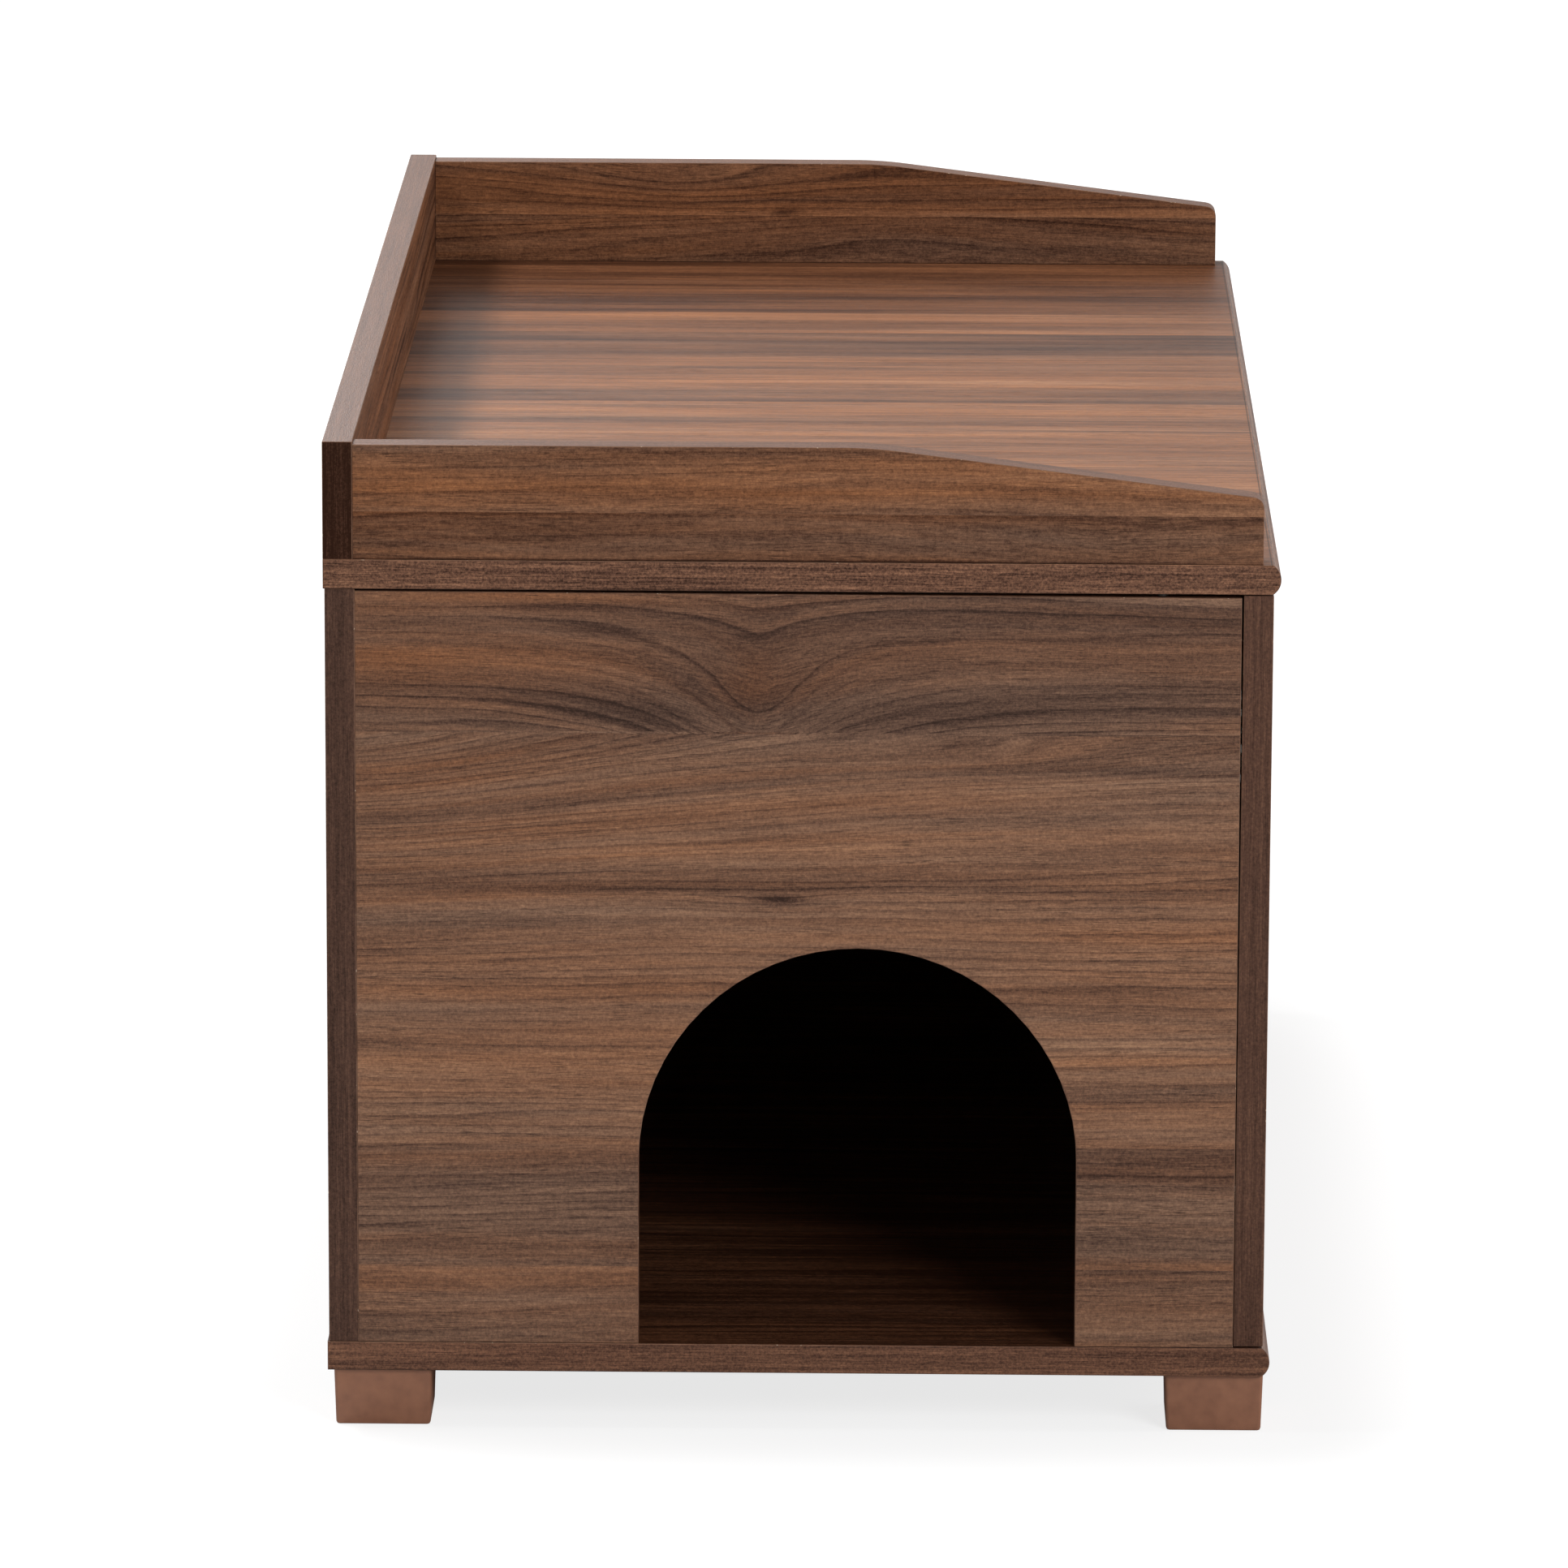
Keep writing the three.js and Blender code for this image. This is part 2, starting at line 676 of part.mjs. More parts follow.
// the bolt that the cam draws in: thread, shank, neck and head on one axis
function camBolt(side, [y, z, way]) {
  const face = z + way * camFromPanelEnd;
  const end = way * (face - z) + boltThreadDepth; // from the cam's centre to the thread's tip
  const rim = boltHeadRim / 2;
  const neckEnd = camRadius + camBoreClearance;
  const profile = [
    [0, -rim - boltHeadSlope],
    [boltHeadRadius, -rim],
    [boltHeadRadius, rim],
    [boltNeckRadius, rim + boltHeadSlope],
    [boltNeckRadius, neckEnd],
    [boltRadius, neckEnd + boltRadius - boltNeckRadius],
    [boltRadius, end - boltTipLength],
    [0, end],
  ].map(([radius, height]) => new THREE.Vector2(radius, height));
  const bolt = new THREE.LatheGeometry(profile, smallSegments);
  bolt.rotateX(way > 0 ? Math.PI / 2 : -Math.PI / 2);
  return geometryOf(solidOf(bolt.translate(side * boltX, y, z)));
}

// ---------- assembly ----------

const cabinet = new THREE.Group();

function place(name, geometry, material, parent = cabinet) {
  const mesh = new THREE.Mesh(geometry, material);
  mesh.name = name;
  parent.add(mesh);
  return mesh;
}

place('bottom_board', bottomBoard(), walnutFoil);
place('top_board', topBoard(), walnutFoil);
place('left_side_panel', sidePanel(-1, archedOutline()), walnutFoil);
const plainSide = rectangle(sidePanelFront, backPanelFront, bottomBoardTop, topBoardBottom);
place('right_side_panel', sidePanel(1, plainSide), walnutFoil);
place('back_panel', backPanel(), walnutFoil);
place('gallery_back_rail', backRail(), walnutFoil);

for (const [sideName, side] of Object.entries(sides)) {
  place(`gallery_${sideName}_rail`, sideRail(side), walnutFoil);
  place(`foot_front_${sideName}`, foot(side, -1), footPaint);
  place(`foot_rear_${sideName}`, foot(side, 1), footPaint);

  const handed = (geometry) => (side < 0 ? geometry : mirrored(geometry));
  place(`${sideName}_door`, handed(door()), walnutFoil);

  for (const [level, height] of Object.entries(hingeHeights)) {
    const hinge = new THREE.Group();
    hinge.position.set(side * panelInner, doorBack, height);
    const name = `${sideName}_${level}_hinge`;
    place(`${name}_cup`, handed(hingeCup()), nickel, hinge);
    place(`${name}_outer_link`, handed(outerLink()), nickel, hinge);
    place(`${name}_inner_link`, handed(innerLink()), nickel, hinge);
    place(`${name}_arm`, handed(hingeArm()), nickel, hinge);
    place(`${name}_plate`, handed(hingePlate()), zincCasting, hinge);
    cabinet.add(hinge);
  }

  for (const [corner, camPlace] of Object.entries(camPlaces())) {
    place(`${sideName}_cam_${corner}`, cam(side, camPlace), zincCasting);
    place(`${sideName}_cam_bolt_${corner}`, camBolt(side, camPlace), zincCasting);
  }
}

for (const [name, spot] of Object.entries(dowelPlaces())) {
  place(`rail_dowel_${name}`, dowel(spot), plainBeech);
}

export default cabinet;
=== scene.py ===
import math

import bmesh
import bpy
from mathutils import Matrix, Vector


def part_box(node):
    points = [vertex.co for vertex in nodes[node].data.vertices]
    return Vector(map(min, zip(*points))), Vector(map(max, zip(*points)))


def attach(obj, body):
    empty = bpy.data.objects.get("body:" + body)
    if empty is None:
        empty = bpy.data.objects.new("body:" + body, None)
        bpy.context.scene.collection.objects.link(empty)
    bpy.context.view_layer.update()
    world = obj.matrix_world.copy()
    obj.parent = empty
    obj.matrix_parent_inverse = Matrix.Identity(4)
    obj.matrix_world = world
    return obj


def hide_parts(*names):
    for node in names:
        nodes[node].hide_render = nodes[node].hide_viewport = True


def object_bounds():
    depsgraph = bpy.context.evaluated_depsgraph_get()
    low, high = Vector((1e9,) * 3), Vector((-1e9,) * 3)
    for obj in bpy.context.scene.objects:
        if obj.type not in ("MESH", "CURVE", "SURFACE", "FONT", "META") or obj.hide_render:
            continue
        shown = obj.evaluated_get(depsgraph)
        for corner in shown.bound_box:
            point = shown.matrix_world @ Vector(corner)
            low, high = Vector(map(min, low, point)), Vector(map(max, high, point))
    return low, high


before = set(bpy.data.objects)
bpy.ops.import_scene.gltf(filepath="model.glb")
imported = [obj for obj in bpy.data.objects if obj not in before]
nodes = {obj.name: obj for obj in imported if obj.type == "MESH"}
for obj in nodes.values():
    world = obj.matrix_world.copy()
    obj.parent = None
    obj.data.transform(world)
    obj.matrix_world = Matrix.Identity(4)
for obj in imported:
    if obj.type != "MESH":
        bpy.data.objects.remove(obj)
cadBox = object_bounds()
scene = bpy.context.scene


def srgb(text):
    # a colour written as #rrggbb, in Blender's linear values
    parts = [int(text[i : i + 2], 16) / 255 for i in (1, 3, 5)]
    return [p / 12.92 if p <= 0.04045 else ((p + 0.055) / 1.055) ** 2.4 for p in parts] + [1]


# ways to write shader nodes
def addNode(tree, kind, inputs=None, **settings):
    node = tree.nodes.new("ShaderNode" + kind)
    for key, value in settings.items():
        setattr(node, key, value)
    for key, value in (inputs or {}).items():
        plug(tree, node.inputs[key], value)
    return node


def plug(tree, socket, value):
    if isinstance(value, bpy.types.NodeSocket):
        tree.links.new(value, socket)
    else:
        socket.default_value = value


def calc(tree, operation, *values):
    node = addNode(tree, "Math", operation=operation)
    for i, value in enumerate(values):
        plug(tree, node.inputs[i], value)
    return node.outputs[0]


def plus(tree, a, b):
    return calc(tree, "ADD", a, b)


def minus(tree, a, b):
    return calc(tree, "SUBTRACT", a, b)


def times(tree, a, b):
    return calc(tree, "MULTIPLY", a, b)


def plusShare(tree, total, value, share):
    return calc(tree, "MULTIPLY_ADD", value, share, total)


def vectorCalc(tree, operation, *values):
    node = addNode(tree, "VectorMath", operation=operation)
    for i, value in enumerate(values):
        plug(tree, node.inputs[i], value)
    return node.outputs["Value" if operation in ("DOT_PRODUCT", "LENGTH") else "Vector"]


def dot(tree, a, b):
    return vectorCalc(tree, "DOT_PRODUCT", a, b)


def joined(tree, x, y=0.0, z=0.0):
    return addNode(tree, "CombineXYZ", {"X": x, "Y": y, "Z": z}).outputs[0]


def fit(tree, value, low, high, outLow=0.0, outHigh=1.0, smooth=True):
    values = {"Value": value, "From Min": low, "From Max": high, "To Min": outLow, "To Max": outHigh}
    kind = "SMOOTHSTEP" if smooth else "LINEAR"
    return addNode(tree, "MapRange", values, interpolation_type=kind).outputs[0]


noiseSpan = (0.3, 0.7)  # nearly all of a noise lies between these


def noise(tree, vector, scale=1.0, detail=2.0, roughness=0.5):
    values = {"Vector": vector, "Scale": scale, "Detail": detail, "Roughness": roughness}
    return addNode(tree, "TexNoise", values, noise_dimensions="3D").outputs["Fac"]


# noise drawn out along the grain, about 0 in the middle; scale is waves to a metre, along and across
def streaks(tree, along, across, seed, scale, detail=2.0, roughness=0.5, shift=0.0):
    point = joined(tree, times(tree, along, scale[0]), times(tree, across, scale[1]), plus(tree, seed, shift))
    return minus(tree, noise(tree, point, 1.0, detail, roughness), 0.5)


def mixColor(tree, factor, a, b, blend="MIX"):
    node = addNode(tree, "Mix", data_type="RGBA", blend_type=blend)
    plug(tree, node.inputs[0], factor)
    plug(tree, node.inputs[6], a)
    plug(tree, node.inputs[7], b)
    return node.outputs[2]


def mixValue(tree, factor, a, b):
    node = addNode(tree, "Mix", data_type="FLOAT")
    plug(tree, node.inputs[0], factor)
    plug(tree, node.inputs[2], a)
    plug(tree, node.inputs[3], b)
    return node.outputs[0]


def ramp(tree, factor, stops, interpolation="LINEAR"):
    node = addNode(tree, "ValToRGB", {"Fac": factor})
    elements = node.color_ramp.elements
    node.color_ramp.interpolation = interpolation
    while len(elements) < len(stops):
        elements.new(1.0)
    for element, (position, color) in zip(elements, stops):
        element.position = position
        element.color = srgb(color) if isinstance(color, str) else color
    return node.outputs


def newGroup(name, inputs, outputs):
    tree = bpy.data.node_groups.new(name, "ShaderNodeTree")
    for label, default in inputs.items():
        kind = "NodeSocketFloat"
        if isinstance(default, (list, tuple)):
            kind = "NodeSocketVector" if len(default) == 3 else "NodeSocketColor"
        tree.interface.new_socket(label, in_out="INPUT", socket_type=kind).default_value = default
    for label, kind in outputs.items():
        tree.interface.new_socket(label, in_out="OUTPUT", socket_type="NodeSocket" + kind)
    return tree, tree.nodes.new("NodeGroupInput").outputs, tree.nodes.new("NodeGroupOutput").inputs


def place(tree, group, inputs):
    node = tree.nodes.new("ShaderNodeGroup")
    node.node_tree = group
    for key, value in inputs.items():
        plug(tree, node.inputs[key], value)
    return node.outputs


# where each mask starts and ends, by how squarely a surface faces its way
maskSpans = {"face": (0.86, 0.92), "arris": (0.02, 0.05), "under": (-0.6, -0.4)}


# where a point lies on its board: along and across the grain on a face, along and across an edge
def boardPlaceGroup():
    tree, given, out = newGroup(
        "boardPlace",
        {"Grain": (0.0, 1.0, 0.0), "Thickness": (1.0, 0.0, 0.0)},
        {"Along": "Float", "Across": "Float", "Edge Along": "Float", "Edge Across": "Float",
         "Face": "Float", "End": "Float", "Arris": "Float", "Under": "Float"},
    )
    spot = addNode(tree, "TexCoord").outputs
    point, normal = spot["Object"], spot["Normal"]
    side = vectorCalc(tree, "CROSS_PRODUCT", given["Grain"], given["Thickness"])
    plug(tree, out["Along"], dot(tree, point, given["Grain"]))
    plug(tree, out["Across"], dot(tree, point, side))
    edgeWay = vectorCalc(tree, "CROSS_PRODUCT", normal, given["Thickness"])
    edgeWay = vectorCalc(tree, "NORMALIZE", edgeWay)
    plug(tree, out["Edge Along"], dot(tree, point, edgeWay))
    plug(tree, out["Edge Across"], dot(tree, point, given["Thickness"]))
    # masks: 1 on the faces, on the ends of the grain, on the arrises and on what looks down
    facing = calc(tree, "ABSOLUTE", dot(tree, normal, given["Thickness"]))
    plug(tree, out["Face"], fit(tree, facing, *maskSpans["face"]))
    endwise = calc(tree, "ABSOLUTE", dot(tree, normal, given["Grain"]))
    plug(tree, out["End"], fit(tree, endwise, *maskSpans["face"]))
    slope = calc(tree, "ABSOLUTE", minus(tree, facing, math.sqrt(0.5)))  # 0 where it faces 45 degrees off
    plug(tree, out["Arris"], fit(tree, slope, *maskSpans["arris"], 1.0, 0.0))
    upward = addNode(tree, "SeparateXYZ", {"Vector": normal}).outputs["Z"]
    plug(tree, out["Under"], fit(tree, upward, *maskSpans["under"], 1.0, 0.0))
    return tree


# one soft hill or hollow on a board: it bends the grain, or lightens or darkens the print
def softPatchGroup():
    tree, given, out = newGroup(
        "softPatch",
        {"Along": 0.0, "Across": 0.0, "Centre Along": 0.0, "Centre Across": 0.0,
         "Reach Along": 0.1, "Reach Across": 0.02, "Blunt": 1.0, "Amount": 0.0},
        {"Change": "Float"},
    )
    sideways = minus(tree, given["Along"], given["Centre Along"])
    sideways = calc(tree, "DIVIDE", sideways, given["Reach Along"])
    upward = minus(tree, given["Across"], given["Centre Across"])
    upward = calc(tree, "DIVIDE", upward, given["Reach Across"])
    # a small Blunt makes the hill's ridge a sharp one
    blunt = calc(tree, "POWER", given["Blunt"], 2.0)
    far = calc(tree, "SQRT", plusShare(tree, blunt, sideways, sideways))
    far = plusShare(tree, minus(tree, far, given["Blunt"]), upward, upward)
    fall = calc(tree, "EXPONENT", times(tree, far, -1.0))
    plug(tree, out["Change"], times(tree, fall, given["Amount"]))
    return tree


# how the grain wanders over a board: slow waves, and smaller ones on them
waveLooks = {"along": 2.6, "across": 11.0, "quickScale": 4.3, "quickShare": 0.22}


def grainWavesGroup():
    inputs = {"Along": 0.0, "Across": 0.0, "Seed": 0.0, "Wave": 0.01}
    tree, given, out = newGroup("grainWaves", inputs, {"Field": "Float"})
    along = times(tree, given["Along"], waveLooks["along"])
    point = joined(tree, along, times(tree, given["Across"], waveLooks["across"]), given["Seed"])
    slow = minus(tree, noise(tree, point, 1.0, 1.0), 0.5)
    quick = minus(tree, noise(tree, point, waveLooks["quickScale"], 2.0), 0.5)
    field = plusShare(tree, given["Across"], slow, given["Wave"])
    field = plusShare(tree, field, quick, times(tree, given["Wave"], waveLooks["quickShare"]))
    plug(tree, out["Field"], field)
    return tree


# the foil's colours, from its darkest streaks to its palest
woodColors = [(0.0, "#2f1c13"), (0.25, "#543a2e"), (0.5, "#775644"), (0.75, "#966e56"), (1.0, "#b48869")]

# the walnut print: the streaks that make it up, then how much each of them tells and its tints
printStreaks = {
    "broad": {"scale": (1.7, 34.0)},
    "bands": {"scale": (5.0, 120.0), "roughness": 0.75, "shift": 7.3},
    "fibres": {"scale": (15.0, 330.0), "detail": 4.0, "roughness": 0.9, "shift": 9.7},
    "threads": {"scale": (110.0, 1500.0), "roughness": 0.8, "shift": 3.1},
    "dust": {"scale": (560.0, 560.0), "detail": 3.0, "roughness": 0.9},
    "lineDrift": {"scale": (1.9, 40.0), "shift": 13.0},
    "lineAreas": {"scale": (2.4, 36.0), "detail": 1.0, "shift": 11.0},
    "hues": {"scale": (2.6, 60.0), "detail": 3.0, "roughness": 0.65, "shift": 19.0},
    "pores": {"scale": (85.0, 2100.0), "roughness": 0.6, "shift": 29.0},
    "poreAreas": {"scale": (9.0, 70.0), "shift": 31.0},
}
printLooks = {
    "middle": 0.55,  # where on the colours a plain spot lies
    "bands": 0.8, "fibres": 0.78, "threads": 0.62, "dust": 0.9, "lines": -0.62, "hues": 3.4, "pores": 0.62,
    "lean": 0.5,  # how far the fibres and pores follow the bends
    "lineDrift": 5.0,  # how unevenly the growth lines are spaced
    "lineSharpness": 4.5,
    "lineEnd": 0.86,  # where each line starts to fade, of the way to the next
    # in which noise lines and pores show, and how much they do at the least and the most
    "lineAreas": (-0.14, 0.1, 0.25, 1.0), "poreAreas": (-0.12, 0.12, 0.3, 1.0),
    "poreSpan": (0.06, 0.15),
    "dustRoughness": 0.3, "poreRoughness": 0.1, "threadHeight": 0.8,
    "warm": "#ffe6c6", "grey": "#f2fbff", "pore": "#2f1e16",
}


def walnutPrintGroup():
    tree, given, out = newGroup(
        "walnutPrint",
        {"Along": 0.0, "Field": 0.0, "Across": 0.0, "Seed": 0.0, "Tone": 0.0, "Warmth": 0.0,
         "Bands": 0.7, "Fine": 1.0, "Fibres": 1.0, "Lines": 1.0, "Line Count": 150.0},
        {"Color": "Color", "Roughness": "Float", "Height": "Float"},
    )
    looks = printLooks
    field, across = given["Field"], given["Across"]
    # fibres lean a little towards the bends, but stay nearly straight
    straight = plusShare(tree, across, minus(tree, field, across), looks["lean"])

    def drawn(name, way):
        return streaks(tree, given["Along"], way, given["Seed"], **printStreaks[name])

    # bands and fine marks
    threads = drawn("threads", straight)
    dust = drawn("dust", across)  # the paper's own grain, the same in all directions
    tone = times(tree, drawn("broad", field), given["Bands"])
    tone = plusShare(tree, tone, times(tree, drawn("bands", field), given["Bands"]), looks["bands"])
    fine = times(tree, times(tree, drawn("fibres", straight), given["Fibres"]), looks["fibres"])
    fine = plusShare(tree, fine, threads, looks["threads"])
    fine = plusShare(tree, fine, dust, looks["dust"])
    tone = plusShare(tree, tone, fine, given["Fine"])
    # each growth line darkens slowly and ends sharply
    counted = times(tree, field, given["Line Count"])
    counted = plusShare(tree, counted, drawn("lineDrift", field), looks["lineDrift"])
    part = calc(tree, "FRACT", counted)
    line = calc(tree, "POWER", part, looks["lineSharpness"])
    line = times(tree, line, fit(tree, part, looks["lineEnd"], 1.0, 1.0, 0.0))
    inAreas = fit(tree, drawn("lineAreas", field), *looks["lineAreas"])
    line = times(tree, times(tree, line, inAreas), given["Lines"])
    tone = plusShare(tree, tone, line, looks["lines"])
    tone = plus(tree, plus(tree, tone, looks["middle"]), given["Tone"])
    color = ramp(tree, tone, woodColors)["Color"]
    # orange and grey patches drift along the board
    warmth = plusShare(tree, given["Warmth"], drawn("hues", field), looks["hues"])
    warm = mixColor(tree, 1.0, color, srgb(looks["warm"]), "MULTIPLY")
    grey = mixColor(tree, 1.0, color, srgb(looks["grey"]), "MULTIPLY")
    color = mixColor(tree, fit(tree, warmth, -1.0, 1.0, smooth=False), grey, warm)
    # pores: short dark strokes in some areas
    pore = fit(tree, drawn("pores", straight), *looks["poreSpan"])
    inAreas = fit(tree, drawn("poreAreas", field), *looks["poreAreas"])
    pore = times(tree, times(tree, pore, inAreas), given["Fine"])
    color = mixColor(tree, times(tree, pore, looks["pores"]), color, srgb(looks["pore"]))
    plug(tree, out["Color"], color)
    rough = plusShare(tree, times(tree, pore, looks["poreRoughness"]), dust, looks["dustRoughness"])
    plug(tree, out["Roughness"], rough)
    plug(tree, out["Height"], minus(tree, times(tree, threads, looks["threadHeight"]), pore))
    return tree


# edge tape, plainer than the faces: long thin streaks and fine specks, with how much each tells
tapeLooks = {
    "long": {"share": 1.3, "scale": (7.0, 420.0), "detail": 4.0, "roughness": 0.85},
    "fine": {"share": 0.8, "scale": (120.0, 1900.0), "roughness": 0.7, "shift": 5.0},
    "dust": {"share": 1.3, "scale": (700.0, 700.0), "detail": 3.0, "roughness": 0.85, "shift": 9.0},
    "middle": 0.5,
    "warm": "#ffe2c4",
}


def edgeTapeGroup():
    tree, given, out = newGroup(
        "edgeTape",
        {"Along": 0.0, "Across": 0.0, "Seed": 0.0, "Tone": 0.0, "Warmth": 0.0, "Streaks": 1.0},
        {"Color": "Color", "Height": "Float"},
    )
    marks = 0.0
    for name in ("long", "fine", "dust"):
        settings = dict(tapeLooks[name])
        share = settings.pop("share")
        drawn = streaks(tree, given["Along"], given["Across"], given["Seed"], **settings)
        marks = plusShare(tree, marks, drawn, share)
        if name == "fine":
            plug(tree, out["Height"], drawn)
    tone = plusShare(tree, plus(tree, tapeLooks["middle"], given["Tone"]), marks, given["Streaks"])
    color = ramp(tree, tone, woodColors)["Color"]
    warm = mixColor(tree, 1.0, color, srgb(tapeLooks["warm"]), "MULTIPLY")
    plug(tree, out["Color"], mixColor(tree, given["Warmth"], color, warm))
    return tree


# arrises: paler in patches, a painted highlight, with a few bare chips, and painted shade where they look
# down
arrisLooks = {
    "highlightScale": 60.0, "highlightLeast": 0.2, "highlightMost": 0.7, "arrisHighlight": "#8f6f5b",
    "chipScale": 420.0, "chipFrom": 0.68, "chipTo": 0.72, "bare": "#bba48e",
    "underShare": 0.8, "under": "#1c120d",
}


def arrisChipsAndLightGroup():
    inputs = {"Color": (0.1, 0.1, 0.1, 1.0), "Arris": 0.0, "Under": 0.0}
    tree, given, out = newGroup("arrisChipsAndLight", inputs, {"Color": "Color"})
    point = addNode(tree, "TexCoord").outputs["Object"]
    # painted highlight: the arrises are made paler in patches
    highlightMottle = noise(tree, point, arrisLooks["highlightScale"], 3.0)
    highlightMottle = fit(tree, highlightMottle, *noiseSpan, arrisLooks["highlightLeast"], arrisLooks["highlightMost"])
    highlighted = times(tree, given["Arris"], highlightMottle)
    color = mixColor(tree, highlighted, given["Color"], srgb(arrisLooks["arrisHighlight"]))
    # painted shade: arrises that look down are darkened, and get no chips
    shaded = times(tree, given["Arris"], given["Under"])
    chip = noise(tree, point, arrisLooks["chipScale"], 2.0)
    chip = fit(tree, chip, arrisLooks["chipFrom"], arrisLooks["chipTo"])
    bare = times(tree, minus(tree, given["Arris"], shaded), chip)
    color = mixColor(tree, bare, color, srgb(arrisLooks["bare"]))
    under = times(tree, shaded, arrisLooks["underShare"])
    plug(tree, out["Color"], mixColor(tree, under, color, srgb(arrisLooks["under"])))
    return tree


# a fine dark line on a board's faces, where its rounded front strip is glued on: widths in metres
jointLooks = {"dark": 0.00015, "fades": 0.0005, "share": 0.75, "color": "#20140f"}


def stripJointGroup():
    inputs = {"Color": (0.1, 0.1, 0.1, 1.0), "Along": 0.0, "Face": 0.0, "At": 0.0}
    tree, given, out = newGroup("stripJoint", inputs, {"Color": "Color"})
    off = calc(tree, "ABSOLUTE", minus(tree, given["Along"], given["At"]))
    joint = fit(tree, off, jointLooks["dark"], jointLooks["fades"], 1.0, 0.0)
    joint = times(tree, times(tree, joint, given["Face"]), jointLooks["share"])
    plug(tree, out["Color"], mixColor(tree, joint, given["Color"], srgb(jointLooks["color"])))
    return tree


# metal that has been handled: faint tarnish in its grain, and uneven shine
handledLooks = {
    "grainScale": 900.0, "tarnish": "#777772", "tarnishShare": 0.22,
    "shineScale": 520.0, "smoother": -0.03, "rougher": 0.04,
    "bumpStrength": 0.1, "bumpDistance": 0.0002,
}


def handledMetalGroup():
    tree, given, out = newGroup(
        "handledMetal",
        {"Color": (0.5, 0.5, 0.5, 1.0), "Roughness": 0.3},
        {"Color": "Color", "Roughness": "Float", "Height": "Float"},
    )
    point = addNode(tree, "TexCoord").outputs["Object"]
    grain = noise(tree, point, handledLooks["grainScale"], 3.0)
    tarnish = times(tree, grain, handledLooks["tarnishShare"])
    plug(tree, out["Color"], mixColor(tree, tarnish, given["Color"], srgb(handledLooks["tarnish"])))
    uneven = noise(tree, point, handledLooks["shineScale"], 3.0)
    uneven = fit(tree, uneven, *noiseSpan, handledLooks["smoother"], handledLooks["rougher"])
    plug(tree, out["Roughness"], plus(tree, given["Roughness"], uneven))
    plug(tree, out["Height"], grain)
    return tree


boardPlace = boardPlaceGroup()
softPatch = softPatchGroup()
grainWaves = grainWavesGroup()
walnutPrint = walnutPrintGroup()
edgeTape = edgeTapeGroup()
arrisChipsAndLight = arrisChipsAndLightGroup()
stripJoint = stripJointGroup()
handledMetal = handledMetalGroup()
print("shader groups ready")


def emptyMaterial(name):
    material = bpy.data.materials.new(name)
    material.use_nodes = True
    material.node_tree.nodes.clear()
    return material, material.node_tree


def newMaterial(name):
    material, tree = emptyMaterial(name)
    shader = addNode(tree, "BsdfPrincipled")
    output = addNode(tree, "OutputMaterial")
    tree.links.new(shader.outputs[0], output.inputs["Surface"])
    return material, tree, shader


def addBump(tree, shader, height, strength, distance):
    bump = addNode(tree, "Bump", {"Height": height, "Strength": strength, "Distance": distance})
    plug(tree, shader.inputs["Normal"], bump.outputs[0])


# one plank of a board: where it starts across the grain, in metres, its tone and warmth from 0 to 1,
# how strong its growth lines are and the patches that bend its grain
def plank(start, tone, warmth, lines=1.0, bends=()):
    return {"start": start, "tone": tone, "warmth": warmth, "lines": lines, "bends": bends}


# at and reach are metres along and across the grain
def patch(at, reach, amount, blunt=1.0):
    return {"at": at, "reach": reach, "amount": amount, "blunt": blunt}


# adds the changes of patches to a total, where the mask is 1 or everywhere
def patchSum(tree, total, along, across, patches, mask=None):
    for item in patches:
        change = place(tree, softPatch, {
            "Along": along, "Across": across,
            "Centre Along": item["at"][0], "Centre Across": item["at"][1],
            "Reach Along": item["reach"][0], "Reach Across": item["reach"][1],
            "Blunt": item["blunt"], "Amount": item["amount"],
        })["Change"]
        if mask is not None:
            change = times(tree, change, mask)
        total = plus(tree, total, change)
    return total


# A board's own dictionary gives its seed, where its last plank ends and how far its grain wanders, in
# metres, and the tone of its edges and of the ends of its grain. What else it says goes before these.
plainBoard = {
    "shades": [], "hues": [],  # patches that darken or lighten, and that make orange or grey
    "bands": 0.7, "fine": 1.0, "fibres": 1.0, "lines": 1.0, "lineCount": 150.0,
    "roughness": 0.5, "gloss": 0.16, "edgeRoughness": 0.4, "edgeStreaks": 0.8,
    "seedStep": 0.37,  # what sets one plank's print apart from the next
    "seedSpread": 97.0, "edgeSeedSpread": 7.0,
    "bumpStrength": 0.25, "bumpDistance": 0.0004,
}


# the values of the plank under a point: tone, seed, warmth and line share, one in each channel
def plankValues(tree, across, looks):
    planks = looks["planks"]
    low, high = planks[0]["start"], looks["end"]
    stops = []
    for i, item in enumerate(planks):
        begins = (item["start"] - low) / (high - low)
        seed = (i * looks["seedStep"] + looks["seed"]) % 1.0
        stops.append((begins, (item["tone"], seed, item["warmth"], item["lines"])))
    chosen = ramp(tree, fit(tree, across, low, high, smooth=False), stops, "CONSTANT")
    part = addNode(tree, "SeparateColor", {"Color": chosen["Color"]}).outputs
    return part["Red"], times(tree, part["Green"], looks["seedSpread"]), part["Blue"], chosen["Alpha"]


